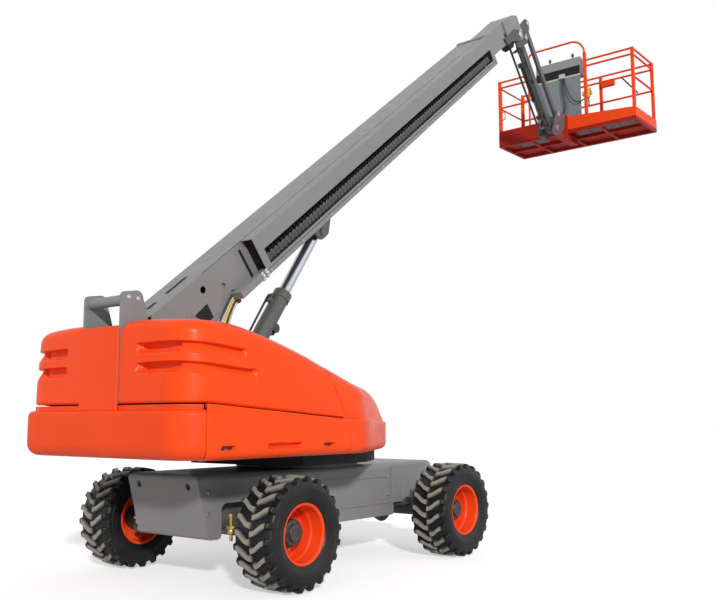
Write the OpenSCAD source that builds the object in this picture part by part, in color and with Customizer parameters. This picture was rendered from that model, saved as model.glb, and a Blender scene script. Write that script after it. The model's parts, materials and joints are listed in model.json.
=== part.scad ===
// Self-propelled telescopic boom lift with a jib and a work platform.
// Millimetres, +Z up. The origin is on the ground under the slew axis, +X towards the boom's tip.

/* [Chassis] */
// Distance between the two axles
wheelbase = 2500; // [2300:10:2700]
// Distance between the middles of the left and right tyres
track = 2120; // [2000:10:2300]
// Half width of the chassis box
chassis_half_w = 470; // [420:5:500]
// Height of the chassis box's lower edge over the ground
chassis_bottom_z = 400; // [360:5:440]
// Height of the chassis box's upper edge over the ground
chassis_top_z = 950; // [900:5:980]
// How far the chassis reaches past each axle
chassis_end_reach = 510; // [490:5:560]
// Wall of the chassis plates
chassis_wall = 16; // [10:1:24]
// Radius of the tie-down holes in the end plates
tie_r = 30; // [20:1:40]

/* [Wheels] */
// Outside diameter of a tyre over its lugs
tyre_od = 955; // [900:5:1000]
// Width of a tyre
tyre_w = 430; // [380:5:450]
// Depth of the tread's lugs
lug_depth = 38; // [20:1:50]
// Radius of the rim under the tyre's bead
rim_r = 254; // [230:1:280]
// Radius of the kingpins that the front knuckles turn on
kingpin_r = 32; // [25:1:40]

/* [Turret] */
// Half width of the turret over its covers
turret_half_w = 1200; // [1150:10:1250]
// How far the turret's tail lies behind the slew axis
tail_x = 2480; // [2400:10:2600]
// Height of the turntable's upper face
deck_z = 1170; // [1150:5:1190]
// Thickness of the turntable plate
deck_t = 60; // [40:5:80]
// Height of the seam between the lower band and the hoods, at the tail
seam_z = 1545; // [1500:5:1580]
// Height of the hoods' highest line
hood_top_z = 2200; // [2150:5:2250]
// Wall of the hoods and covers
cover_wall = 24; // [12:1:40]
// Half distance between the inner faces of the two frame plates
frame_inner_y = 238; // [230:1:250]
// Thickness of a frame plate
frame_t = 24; // [15:1:30]

/* [Boom] */
// Elevation of the boom as it stands
boom_angle = 38.3; // [36:0.1:40]
// Boom pivot, behind the slew axis
pivot_back = 1660; // [1600:5:1700]
// Boom pivot, over the ground
pivot_z = 1500; // [1450:5:1550]
// Height of the boom's top face over the pivot, square to the boom
boom_top_n = 874; // [850:1:900]
// Width of the base section
base_w = 380; // [360:2:400]
// Height of the base section
base_h = 400; // [380:2:420]
// Wall of the boom sections
boom_wall = 10; // [6:1:14]
// Gap between one boom section and the next, filled by wear pads
section_gap = 11; // [8:1:14]
// Where the base section's upper edge starts along the boom, from the pivot
base_start = 200; // [180:5:260]
// Where the base section ends along the boom, from the pivot
base_end = 7410; // [7300:10:7500]
// How far the middle section stands out of the base
mid_out = 130; // [100:5:200]
// How far the fly section stands out of the middle one
fly_out = 960; // [900:10:1000]
// Depth of the cable tray beside the boom
tray_d = 155; // [120:5:180]

/* [Lift cylinder] */
// Outside diameter of the barrel
barrel_d = 180; // [160:2:200]
// Diameter of the rod
rod_d = 124; // [100:2:140]
// Base pin, behind the slew axis
base_pin_back = 1279; // [1240:1:1320]
// Base pin, over the turntable's upper face
base_pin_rise = 39; // [30:1:50]
// Length of the barrel from the base pin to the gland
barrel_length = 1830; // [1750:5:1900]

/* [Jib] */
// Length of the jib between its pins
jib_length = 1560; // [1500:5:1700]
// Angle of the jib over the level as it stands
jib_angle = -50; // [-55:0.1:-45]
// Radius of the jib's pins
jib_pin_r = 22; // [15:1:28]

/* [Platform] */
// Length of the platform across the machine
platform_l = 2480; // [2300:10:2600]
// Depth of the platform
platform_d = 910; // [850:10:1000]
// Height of the top rail over the platform's underside
rail_h = 1210; // [1150:10:1250]
// Radius of the rail tubes
rail_r = 17; // [14:1:22]
// Height of the toe board
toe_h = 150; // [120:5:180]
// Distance from the turning axis to the platform's near face
platform_offset = 160; // [155:1:200]

/* [Hidden] */
$fn = 48;
// Overrun of every cut past the face that it opens
over = 5;
// Running clearance round pins and rods, and the gap between panels
pin_clear = 0.1;
run_clear = 0.3;
panel_gap = 6;
// Pieces of a rounded corner, and the usual radii of plates
arc_steps = 6;
small_round = 20;
mid_round = 40;
wide_round = 60;

// Wheels: like places from one table, columns end (along X) and side (along Y)
END = 0;
SIDE = 1;
WHEELS = [[-1, -1], [-1, 1], [1, -1], [1, 1]];
tyre_r = tyre_od / 2;
axle_z = tyre_r;
lugs = 18;
lug_sweep = 15;
// Where a lug starts to rise, is up, starts to fall and is down, in shares of its pitch
lug_steps_shares = [0, 0.09, 0.5, 0.59];
bead_half_w = 164;
bulge_r = 345;
shoulder_r = 415;
shoulder_half_w = 208;
edge_half_w = 186;
crown_half_w = 22;
edge_drop = 8;
sample_turn = (lug_steps_shares[2] - lug_steps_shares[1]) * 360 / lugs;
bead_r = (rim_r + run_clear) / cos(sample_turn / 2);
rim_wall = 12;
rim_edge = 181;
rim_lip = 7;
rim_lip_h = 12;
disc_t = 14;
disc_u = -38;
hub_r = 118;
hub_face_u = 62;
hub_back_u = -120;
hub_cap_r = 74;
hub_cap_t = 26;

// Axles and knuckles, along Y from the middle of the wheel
spindle_r = 82;
spindle_seat_y = track / 2 + hub_back_u - run_clear;
axle_r = 92;
diff_r = 190;
diff_w = 300;
diff_neck = 130;
axle_boss_r = 78;
axle_boss_h = 190;
kingpin_y = 770;
ear_t = 34;
ear_gap = 1;
knuckle_half_w = 92;
knuckle_in = 84;
knuckle_t = 40;
steer_beam_half_h = 62;
axle_seat_t = 60;
axle_seat_half_w = 150;
axle_seat_y = 300;

// Chassis
arch_r = 215;
arch_top_z = 700;
end_lean = 150;
end_plate_t = 30;
// Tie-down holes, columns end and distance from the middle plane
TIE_Y = 1;
TIES = [[-1, 330], [1, 390]];
tie_drop = 100;
rib_t = 8;
rib_h = 22;
rib_shares = [0.25, 0.75];
fold_x = 620;
ring_r = 560;
ring_in_r = 430;
ring_lip = 40;
ring_z = chassis_top_z;
ring_top = deck_z - deck_t;

// Turret
taper_x = -350;
taper_round = 500;
nose_round = 160;
frame_front = 560;
well_back = 110;
well_front = 240;
cw_depth = 200;
band_bottom_z = deck_z - deck_t;
band_round = 110;
tail_round = 340;
seam_front_z = 1425;
seam_front_x = -630;
split_x = -680;
nose_x = 720;
nose_half_w = 620;
nose_tip_z = 1410;
skirt_t = 60;
hood_inner_y = frame_inner_y + frame_t + panel_gap;
hood_inset = 50;
nose_inset = 30;
hood_swell = 10;
hood_top_round = 300;
// Crown of the covers from the tail to the nose, columns place along X, drop under the top and radius
CROWN = [[-tail_x - over, 40, 60], [-1700, -20, 900], [-550, 130, 500], [100, 420, 500],
         [nose_x - 130, 590, 120]];
hood_edge_drop = 95;
hood_edge_round = 150;
// Hood hinges: pins in the plane of the frame plates, columns place along X and drop of the foot to the hood
HINGE_DROP = 1;
HINGES = [[-1950, 5], [-900, 105]];
hinge_y = frame_inner_y + frame_t / 2;
hinge_rise = 16;
hinge_pin_r = 8;
hinge_eye_r = 14;
hinge_len = 40;
hinge_foot = 60;
hinge_lug_h = 330;
nose_inner_y = base_w / 2 + tray_d + 4 * panel_gap;
slot_depth = 14;
slot_h = 84;
// Louvre slots, columns height over the seam and end along X
SLOT_Z = 0;
SLOT_END = 1;
SLOTS = [[415, -1880], [275, -1800]];
slot_start_y = 560;
slot_fall = 1.5;
rear_panel_t = 26;
upright_x = tail_x - 60;
upright_top_z = 2500;
upright_len = 200;
upright_flare = 105;
cross_tube_r = 46;
cross_drop = 62;
cross_in = 62;
boom_pin_r = 50;
ear_r = 150;
ear_plate_t = 34;
ear_end_s = 1000;
lug_plate_t = 30;
lift_pin_r = 42;
base_eye_r = 84;
engine_box = [1050, 560, 700];
tank_box = [950, 520, 620];
engine_x = -1450;
block_y = 690;
sump_h = 160;

// Boom sections, places along the boom and square to it from the pivot
base_top = boom_top_n;
base_bottom = boom_top_n - base_h;
mid_w = base_w - 2 * boom_wall - 2 * section_gap;
mid_h = base_h - 2 * boom_wall - 2 * section_gap;
mid_top = base_top - boom_wall - section_gap;
mid_start = 900;
mid_end = base_end + mid_out;
fly_end = mid_end + fly_out;
fly_w = mid_w - 2 * boom_wall - 2 * section_gap;
fly_h = mid_h - 2 * boom_wall - 2 * section_gap;
fly_top = mid_top - boom_wall - section_gap;
fly_start = 1300;
pad_len = 160;
pad_w = 90;
tail_reach = 300;
tail_low = 60;
hole_r = 34;
hole_s = 817;
hole_n = 744;
moon_r = 30;
moon_s = 1053;
moon_n = 640;
hatch_s = 755;
hatch_n = 540;
hatch_half = 62;
tray_start = 1497;
tray_end = base_end - 116;
tray_wall = 8;
tray_rail_start = 1070;
tray_rail_h = 70;
window_low = 80;
window_h = 160;
window_margin = 90;
chain_pitch = 85;
chain_gap = 22;
chain_h = 52;
chain_cut = 18;
chain_in = 22;
clevis_t = 26;
clevis_in_y = 86;
clevis_back = 150;
clevis_front = 330;
eye_r = 62;
eye_half_w = 80;
gland_r = 98;
gland_len = 90;
port_r = 30;
port_len = 40;
rod_tail = 1500;
pin_head_r = 62;
pin_head_t = 16;

clevis_pin_s = 2705;
clevis_pin_drop = 163;
clevis_pin_n = base_bottom - clevis_pin_drop;

// Places in X and Z of what is given along and square to the boom, from its pivot
boom_along = [cos(boom_angle), sin(boom_angle)];
boom_across = [-sin(boom_angle), cos(boom_angle)];
boom_pivot = [-pivot_back, pivot_z];
rod_pin = boom_pivot + clevis_pin_s * boom_along + clevis_pin_n * boom_across;
base_pin = [-base_pin_back, deck_z + base_pin_rise];
lift_vector = rod_pin - base_pin;
lift_length = norm(lift_vector);
lift_angle = atan2(lift_vector[1], lift_vector[0]);

// Boom tip, jib and upright: pins at rest in X and Z
tip_s = fly_end + 120;
tip_n = 500;
cheek_t = 20;
cheek_r = 92;
cheek_start = fly_end - 300;
cheek_low = 60;
fly_notch = fly_end - 350;
tip_pin_r = 32;
tip_pin = boom_pivot + tip_s * boom_along + tip_n * boom_across;
arm_pin = tip_pin + [250, 40];
upper_pin = arm_pin + [60, 250];
jib_vector = jib_length * [cos(jib_angle), sin(jib_angle)];
tip_plate_y = 112;
tip_plate_t = 20;
tip_plate_r = 62;
tip_lobe = 190;
arm_half_w = 44;
arm_h = 110;
link_y = 52;
link_t = 44;
link_h = 88;
rod_link_y = 60;
rod_drop = 240;
rod_start = 30;
rod_end = 70;
lobe_r = 40;
rod_link_r = 17;
boss_r = 52;
hanger_t = 14;
hanger_in = 110;
web_len = 60;
upright_reach = 372;
upright_rise = 70;
upright_foot = 170;

// Platform
axis_x = arm_pin[0] + jib_vector[0] + upright_reach;
platform_z = arm_pin[1] + jib_vector[1] + upright_rise;
platform_x = axis_x + platform_offset;
platform_y = platform_l / 2;
floor_t = 8;
beam = 50;
tread_t = 4;
tread_inset = 66;
toe_t = 6;
toe_rise = 85;
rail_round = 120;
post = 46;
double_drop = 100;
mid_rail_h = 720;
far_posts = [-330, 420];
hoop_low_y = -420;
hoop_high_y = 640;
hoop_h = 1573;
hoop_round = 240;
console_z = 1010;
console_box = [250, 810, 310];
console_y = 105;
console_lean = 90;
panel_t = 5;
rotor_r = 66;
rotor_low = 12;
rotor_high = 250;
mount_half_w = 68;
mount_low = 110;
mount_top = 300;
mount_t = 70;
mount_gap = 16;
web_front = axis_x - mount_t - mount_gap;
mount_reach = 560;
gate_gap = 12;
gate_tube_r = 15;
gate_pin_r = 8;
gate_pin_len = 40;
gate_lug_t = 10;
gate_low = beam + floor_t + toe_h;
gate_high = rail_h - double_drop;
gate_axis_x = platform_d - toe_t - post - gate_gap - gate_tube_r;

// Outlines

// Points of one corner at b between a and c, rounded to a radius
function corner(a, b, c, r) =
    let (u = (a - b) / norm(a - b), v = (c - b) / norm(c - b),
         half = acos(u * v) / 2, reach = r / tan(half),
         centre = b + (u + v) / norm(u + v) * r / sin(half),
         from = b + u * reach - centre, to = b + v * reach - centre,
         start = atan2(from[1], from[0]), turn = atan2(to[1], to[0]) - start,
         sweep = turn > 180 ? turn - 360 : turn < -180 ? turn + 360 : turn)
    r == 0 ? [b] : [for (i = [0:arc_steps])
        centre + r * [cos(start + sweep * i / arc_steps), sin(start + sweep * i / arc_steps)]];

// An outline from corners, columns X, Y and radius
function rounded(table) =
    let (n = len(table), p = [for (t = table) [t[0], t[1]]])
    [for (i = [0:n - 1]) each corner(p[(i + n - 1) % n], p[i], p[(i + 1) % n], table[i][2])];

// A plate in the XZ plane between two distances along Y
module plate_xz(outline, y0, y1) {
    translate([0, y1, 0]) rotate([90, 0, 0]) linear_extrude(y1 - y0) polygon(outline);
}

// A prism along X between two places, from an outline in Y and Z
module prism_x(outline, x0, x1) {
    translate([x0, 0, 0]) rotate([90, 0, 90]) linear_extrude(x1 - x0) polygon(outline);
}

// A cylinder along Y between two distances
module rod_y(r, y0, y1) {
    translate([0, y1, 0]) rotate([90, 0, 0]) cylinder(r = r, h = y1 - y0);
}

// A cylinder along X
module rod_x(r, x0, x1) {
    translate([x0, 0, 0]) rotate([0, 90, 0]) cylinder(r = r, h = x1 - x0);
}

// A block between two corners
module block(low, high) {
    translate(low) cube(high - low);
}

// The child and its mirror image across the machine's middle plane
module both_sides() {
    children();
    mirror([0, 1, 0]) children();
}

module at_xz(p) {
    translate([p[0], 0, p[1]]) children();
}

// Chassis

chassis_half_l = wheelbase / 2 + chassis_end_reach;

// Side outline of the chassis: ends that lean in towards the ground, an arch over each axle
function chassis_outline() = rounded([
    [-chassis_half_l, chassis_top_z, mid_round], [-chassis_half_l + end_lean, chassis_bottom_z, mid_round],
    [-wheelbase / 2 - arch_r, chassis_bottom_z, mid_round], [-wheelbase / 2 - arch_r, arch_top_z, wide_round],
    [-wheelbase / 2 + arch_r, arch_top_z, wide_round], [-wheelbase / 2 + arch_r, chassis_bottom_z, mid_round],
    [wheelbase / 2 - arch_r, chassis_bottom_z, mid_round], [wheelbase / 2 - arch_r, arch_top_z, wide_round],
    [wheelbase / 2 + arch_r, arch_top_z, wide_round], [wheelbase / 2 + arch_r, chassis_bottom_z, mid_round],
    [chassis_half_l - end_lean, chassis_bottom_z, mid_round], [chassis_half_l, chassis_top_z, mid_round]]);

module chassis_frame() color([0.5, 0.5, 0.5]) difference() {
    union() {
        intersection() {
            plate_xz(chassis_outline(), -chassis_half_w, chassis_half_w);
            prism_x(rounded([[-chassis_half_w, chassis_bottom_z, 0], [chassis_half_w, chassis_bottom_z, 0],
                             [chassis_half_w, chassis_top_z, wide_round],
                             [-chassis_half_w, chassis_top_z, wide_round]]),
                    -chassis_half_l, chassis_half_l);
        }
        // Ribs along the side plates, and an upright one where the plate is folded
        both_sides() block([fold_x, -chassis_half_w - rib_t, chassis_bottom_z],
                           [fold_x + rib_h, -chassis_half_w, chassis_top_z - wide_round]);
        both_sides() for (z = rib_shares)
            block([-wheelbase / 2 + arch_r + axle_boss_r, -chassis_half_w - rib_t,
                   chassis_bottom_z + (chassis_top_z - chassis_bottom_z) * z - rib_h / 2],
                  [wheelbase / 2 - arch_r - axle_boss_r, -chassis_half_w,
                   chassis_bottom_z + (chassis_top_z - chassis_bottom_z) * z + rib_h / 2]);
    }
    // The open box under the top plate, between the end plates
    block([-wheelbase / 2 + arch_r + end_plate_t, -chassis_half_w + chassis_wall, chassis_bottom_z - over],
          [wheelbase / 2 - arch_r - end_plate_t, chassis_half_w - chassis_wall,
           chassis_top_z - end_plate_t]);
    for (t = TIES, s = [-1, 1])
        translate([t[END] * (chassis_half_l - end_lean), s * t[TIE_Y], chassis_top_z - tie_drop])
            rotate([0, t[END] * 90, 0]) cylinder(r = tie_r, h = end_lean + over);
    // A pocket behind each end plate, which the tie-down holes open into
    for (e = [-1, 1])
        block([e > 0 ? wheelbase / 2 + arch_r + end_plate_t : -chassis_half_l + end_lean,
               -chassis_half_w + chassis_wall, arch_top_z + end_plate_t],
              [e > 0 ? chassis_half_l - end_lean : -wheelbase / 2 - arch_r - end_plate_t,
               chassis_half_w - chassis_wall, chassis_top_z - end_plate_t]);
}

module slew_ring() color([0.25, 0.25, 0.26]) difference() {
    union() {
        translate([0, 0, ring_z]) cylinder(r = ring_r, h = (ring_top - ring_z) / 2);
        translate([0, 0, ring_z]) cylinder(r = ring_r - ring_lip, h = ring_top - ring_z - run_clear);
    }
    translate([0, 0, ring_z - over]) cylinder(r = ring_in_r, h = ring_top - ring_z + 2 * over);
}

// Axles

module axle_seat() {
    both_sides() block([-axle_seat_half_w, axle_seat_y - axle_seat_t, 0],
                       [axle_seat_half_w, axle_seat_y + axle_seat_t, arch_top_z - axle_z]);
}

module drive_axle() color([0.3, 0.3, 0.31]) translate([wheelbase / 2, 0, axle_z]) {
    rod_y(axle_r, -spindle_seat_y + diff_neck, spindle_seat_y - diff_neck);
    both_sides() rod_y(spindle_r, spindle_seat_y - diff_neck - over, spindle_seat_y);
    rotate([90, 0, 0]) cylinder(r1 = diff_neck, r2 = diff_r, h = diff_w / 2);
    rotate([-90, 0, 0]) cylinder(r1 = diff_neck, r2 = diff_r, h = diff_w / 2);
    axle_seat();
}

module steer_axle() color([0.3, 0.3, 0.31]) translate([-wheelbase / 2, 0, axle_z]) difference() {
    union() {
        block([-steer_beam_half_h, -kingpin_y, -steer_beam_half_h],
              [steer_beam_half_h, kingpin_y, steer_beam_half_h]);
        both_sides() translate([0, kingpin_y, -axle_boss_h / 2]) cylinder(r = axle_boss_r, h = axle_boss_h);
        axle_seat();
    }
    both_sides() translate([0, kingpin_y, -axle_boss_h / 2 - over])
        cylinder(r = kingpin_r + pin_clear, h = axle_boss_h + 2 * over);
}

// A knuckle on the far side: kingpin, two ears and the spindle's flange
module knuckle() translate([-wheelbase / 2, 0, axle_z]) {
    ear_z = axle_boss_h / 2 + ear_gap;
    translate([0, kingpin_y, -ear_z - ear_t]) cylinder(r = kingpin_r, h = 2 * (ear_z + ear_t));
    for (z = [-ear_z - ear_t, ear_z]) translate([0, kingpin_y, z]) {
        cylinder(r = axle_boss_r, h = ear_t);
        translate([-axle_boss_r, 0, 0]) cube([2 * axle_boss_r, knuckle_in + knuckle_t, ear_t]);
    }
    block([-knuckle_half_w, kingpin_y + knuckle_in, -ear_z - ear_t],
          [knuckle_half_w, kingpin_y + knuckle_in + knuckle_t, ear_z + ear_t]);
    rod_y(spindle_r, kingpin_y + knuckle_in, spindle_seat_y);
}

module knuckle_near() color([0.28, 0.28, 0.29]) mirror([0, 1, 0]) knuckle();
module knuckle_far() color([0.28, 0.28, 0.29]) knuckle();

// Wheels

// Tyre rings, columns place across the width, radius in a groove, radius on a lug, sweep as a share
tyre_rings = [
    [-bead_half_w, bead_r, bead_r, 1], [-tyre_w / 2, bulge_r, bulge_r, 1],
    [-shoulder_half_w, shoulder_r, shoulder_r + lug_depth / 2, 1],
    [-edge_half_w, tyre_r - lug_depth - edge_drop, tyre_r - edge_drop, 1],
    [-crown_half_w, tyre_r - lug_depth, tyre_r, 0],
    [crown_half_w, tyre_r - lug_depth, tyre_r, 0],
    [edge_half_w, tyre_r - lug_depth - edge_drop, tyre_r - edge_drop, 1],
    [shoulder_half_w, shoulder_r, shoulder_r + lug_depth / 2, 1],
    [tyre_w / 2, bulge_r, bulge_r, 1], [bead_half_w, bead_r, bead_r, 1]];
tyre_steps = 4 * lugs;

// A lug is up on the near half in the first part of its pitch, on the far half in the second
function lug_up(ring, step) =
    let (k = step % 4) tyre_rings[ring][0] < 0 ? (k == 1 || k == 2) : (k == 3 || k == 0);

function tyre_point(ring, step) =
    let (t = tyre_rings[ring], r = lug_up(ring, step) ? t[2] : t[1],
         a = (floor(step / 4) + lug_steps_shares[step % 4]) * 360 / lugs + lug_sweep * t[3])
    [r * cos(a), t[0], r * sin(a)];

module lugged_tyre() {
    rings = len(tyre_rings);
    polyhedron(
        points = [for (j = [0:rings - 1], i = [0:tyre_steps - 1]) tyre_point(j, i)],
        faces = [for (j = [0:rings - 1], i = [0:tyre_steps - 1])
            let (k = (j + 1) % rings, n = (i + 1) % tyre_steps,
                 a = j * tyre_steps + i, b = j * tyre_steps + n,
                 c = k * tyre_steps + n, d = k * tyre_steps + i)
            each [[a, b, c], [a, c, d]]]);
}

// A deep-dish rim round the Z axis, its open face up
module dished_rim() rotate_extrude() {
    translate([rim_r - rim_wall, -rim_edge]) square([rim_wall, 2 * rim_edge]);
    for (u = [-rim_edge, rim_edge - rim_lip])
        translate([rim_r - rim_wall, u]) square([rim_wall + rim_lip_h, rim_lip]);
    polygon([[hub_r, disc_u - disc_t], [rim_r - rim_wall, disc_u - 4 * disc_t],
             [rim_r - rim_wall, disc_u - 2 * disc_t], [hub_r, disc_u + disc_t]]);
}

// A planetary hub round the Z axis, its cap up
module planetary_hub() rotate_extrude() polygon(rounded([
    [0, hub_back_u, 0], [hub_r - run_clear, hub_back_u, 0], [hub_r - run_clear, hub_face_u, small_round / 2],
    [hub_cap_r, hub_face_u, 0], [hub_cap_r, hub_face_u + hub_cap_t, small_round / 2],
    [0, hub_face_u + hub_cap_t, 0]]));

// A wheel's piece set at its place, the outer face away from the machine
module at_wheel(w) {
    translate([w[END] * wheelbase / 2, w[SIDE] * track / 2, axle_z]) rotate([-w[SIDE] * 90, 0, 0]) children();
}

module tyre_at(w) color([0.08, 0.08, 0.08]) at_wheel(w) rotate([90, 0, 0]) lugged_tyre();
module rim_at(w) color([0.95, 0.25, 0.06]) at_wheel(w) dished_rim();
module hub_at(w) color([0.1, 0.1, 0.1]) at_wheel(w) planetary_hub();

// Turret

// The frame plate's outline: the upright at the tail, the boom's pivot, the falling front
function frame_outline() = rounded([
    [-tail_x + cw_depth, deck_z, 0], [-tail_x + cw_depth, seam_z + panel_gap, 0],
    [-upright_x, seam_z + panel_gap, 0], [-upright_x, upright_top_z - cross_drop / 2, mid_round],
    [-upright_x + upright_len, upright_top_z, wide_round],
    [-upright_x + upright_len + upright_flare, hood_top_z - mid_round, mid_round],
    [-pivot_back + ear_r * 3, hood_top_z - hood_edge_drop, ear_r],
    [split_x + ear_r * 3, pivot_z + ear_r * 2, 2 * mid_round], [frame_front, deck_z + ear_r, wide_round],
    [frame_front, deck_z, 0]]);

module turntable() color([0.48, 0.48, 0.48]) {
    // The deck inside the band, with a well for the cylinder's foot
    difference() {
        translate([0, 0, deck_z - deck_t]) linear_extrude(deck_t) both_sides() polygon(cover_plan(skirt_t));
        block([-tail_x - over, -turret_half_w, 0], [-tail_x + cw_depth, turret_half_w, 2 * deck_z]);
        block([base_pin[0] - well_back, -barrel_d / 2 - over, 0],
              [base_pin[0] + well_front, barrel_d / 2 + over, 2 * deck_z]);
    }
    // Hinge lugs and pins for the hoods
    both_sides() for (h = HINGES) let (x = h[0]) {
        block([x, frame_inner_y, hood_top_z + hinge_rise + hinge_eye_r - hinge_lug_h],
              [x + hinge_len, frame_inner_y + frame_t, hood_top_z + hinge_rise + hinge_eye_r]);
        translate([x, hinge_y, hood_top_z + hinge_rise]) rod_x(hinge_pin_r, 0, 2 * hinge_len);
    }
    both_sides() plate_xz(frame_outline(), frame_inner_y, frame_inner_y + frame_t);
    // Cross tube between the uprights
    translate([-upright_x + cross_in, 0, upright_top_z - cross_drop - cross_in / 2])
        rod_y(cross_tube_r, -frame_inner_y, frame_inner_y);
    // Boom pivot pin
    at_xz([-pivot_back, pivot_z]) rod_y(boom_pin_r, -frame_inner_y, frame_inner_y);
    // Lugs and pin under the lift cylinder
    both_sides() plate_xz(rounded([
        [base_pin[0] - 2 * base_eye_r, deck_z, 0],
        [base_pin[0] - base_eye_r, base_pin[1] + base_eye_r, wide_round],
        [base_pin[0] + base_eye_r, base_pin[1] + base_eye_r, wide_round],
        [base_pin[0] + 2 * base_eye_r, deck_z, 0]]),
        barrel_d / 2 + over, barrel_d / 2 + over + lug_plate_t);
    at_xz(base_pin) rod_y(lift_pin_r, -barrel_d / 2 - over, barrel_d / 2 + over);
}

// Plan of the turret's covers on the near side, drawn in by an inset
function cover_plan(inset) = rounded([
    [-tail_x + inset, 0, 0], [-tail_x + inset, -turret_half_w + inset, tail_round - inset / 2],
    [taper_x, -turret_half_w + inset, taper_round], [nose_x - inset, -nose_half_w + inset, nose_round],
    [nose_x - inset, 0, 0]]);

// Side outline of the covers over a level, lowered by a wall
function cover_side(low, wall) = rounded([
    [-tail_x - over, low, 0], each [for (c = CROWN) [c[0], hood_top_z - c[1] - wall, c[2]]],
    [nose_x + over, nose_tip_z, 0], [nose_x + over, low, 0]]);

// Cross-section of the covers on the near side, drawn in by an inset and lowered by a wall
function cover_section(low, inset, wall, inner) = [for (p = rounded([
    [inner, low, 0], [inner, hood_top_z - wall, 0],
    [2 * hood_inner_y, hood_top_z + hood_swell - wall, hood_top_round],
    [turret_half_w - inset, hood_top_z - hood_edge_drop - wall, hood_edge_round - wall / 2],
    [turret_half_w - inset, low, 0]])) [-p[0], p[1]]];

// The covers' solid on the near side above a level, drawn in by an inset and then by a wall
module cover_body(low, inset, wall, inner) intersection() {
    translate([0, 0, low]) linear_extrude(2 * hood_top_z) polygon(cover_plan(inset + wall));
    plate_xz(cover_side(low - over, wall), -turret_half_w - over, 0);
    prism_x(cover_section(low - over, inset + wall, wall, inner), -tail_x - over, nose_x + over);
}

// The seam's outline between the lower band and the hood, as the space over it
function over_seam(gap) = [
    [-tail_x - over, seam_z + gap], [-2 * pivot_back / 3, seam_z + gap], [seam_front_x, seam_front_z + gap],
    [nose_x + over, seam_front_z + gap], [nose_x + over, 2 * hood_top_z], [-tail_x - over, 2 * hood_top_z]];

module hood() difference() {
    cover_body(seam_front_z, hood_inset, 0, hood_inner_y);
    cover_body(seam_front_z - over, hood_inset, cover_wall, hood_inner_y - over);
    // Open towards the frame plate and the seam
    plate_xz([for (p = over_seam(panel_gap)) p[1] > seam_z + hood_top_z ? [p[0], 0] : p], -turret_half_w - over, 0);
    block([split_x, -turret_half_w - over, 0], [nose_x + over, 0, 2 * hood_top_z]);
    // Louvre slots round the tail's corner
    for (s = SLOTS) difference() {
        translate([-tail_x, 0, seam_z + s[SLOT_Z]]) rotate([0, slot_fall, 0])
            translate([-over, -turret_half_w - over, -slot_h / 2])
                cube([tail_x + s[SLOT_END], turret_half_w + over - slot_start_y, slot_h]);
        translate([0, 0, seam_z]) linear_extrude(hood_top_z) polygon(cover_plan(hood_inset + slot_depth));
    }
}

// Hinge eyes on the hood's inner edge, round the frame's pins
module hood_eyes() for (h = HINGES) difference() {
    translate([h[0] + hinge_len + run_clear, -hinge_y, hood_top_z + hinge_rise]) union() {
        rod_x(hinge_eye_r, 0, hinge_len);
        block([0, -hinge_foot, -hinge_rise], [hinge_len, 0, -hinge_rise + hinge_eye_r]);
        block([0, -hinge_foot, -hinge_rise - h[HINGE_DROP]], [hinge_len, hinge_y - hood_inner_y, -hinge_rise]);
    }
    translate([h[0], -hinge_y, hood_top_z + hinge_rise]) rod_x(hinge_pin_r + pin_clear, 0, 3 * hinge_len);
}

module hood_near() color([0.95, 0.27, 0.06]) {
    hood();
    hood_eyes();
}
module hood_far() color([0.95, 0.27, 0.06]) mirror([0, 1, 0]) {
    hood();
    hood_eyes();
}

// The fixed nose in front of the hood: drawn in over the seam, its inner wall on the deck
module nose() difference() {
    union() {
        cover_body(band_bottom_z, nose_inset, 0, nose_inner_y);
        intersection() {
            cover_body(band_bottom_z, 0, 0, nose_inner_y);
            block([-tail_x, -turret_half_w, 0], [nose_x, 0, seam_front_z]);
        }
    }
    cover_body(band_bottom_z - over, nose_inset, cover_wall, nose_inner_y + cover_wall);
    block([-tail_x - over, -turret_half_w - over, 0], [split_x + panel_gap, 0, 2 * hood_top_z]);
    block([-tail_x, -nose_inner_y - cover_wall - over, 0], [nose_x - nose_inset - cover_wall, 0, deck_z]);
}

module nose_near() color([0.95, 0.27, 0.06]) nose();
module nose_far() color([0.95, 0.27, 0.06]) mirror([0, 1, 0]) nose();

// The band under the hood: solid between the deck's edge and the outer face, its foot rounded
module band(x0, x1) intersection() {
    translate([0, 0, band_bottom_z]) linear_extrude(seam_z) polygon(cover_plan(0));
    plate_xz([for (p = over_seam(0)) p[1] > seam_z + hood_top_z ? [p[0], 0] : p], -turret_half_w - over, 0);
    prism_x(rounded([[0, band_bottom_z, 0], [0, 2 * seam_z, 0], [-turret_half_w, 2 * seam_z, 0],
                     [-turret_half_w, band_bottom_z, band_round]]), x0, x1);
}

module skirt() difference() {
    band(-tail_x + cw_depth, split_x);
    block([-tail_x, -turret_half_w + skirt_t, 0], [nose_x, 0, hood_top_z]);
}

module skirt_near() color([0.95, 0.27, 0.06]) skirt();
module skirt_far() color([0.95, 0.27, 0.06]) mirror([0, 1, 0]) skirt();
module counterweight() color([0.95, 0.27, 0.06]) both_sides() band(-tail_x, -tail_x + cw_depth);

module rear_panel() color([0.95, 0.27, 0.06])
    prism_x(rounded([[-frame_inner_y - frame_t, seam_z + panel_gap, small_round],
                     [frame_inner_y + frame_t, seam_z + panel_gap, small_round],
                     [frame_inner_y + frame_t, hood_top_z - panel_gap, mid_round],
                     [-frame_inner_y - frame_t, hood_top_z - panel_gap, mid_round]]),
            -upright_x - rear_panel_t, -upright_x);

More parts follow.
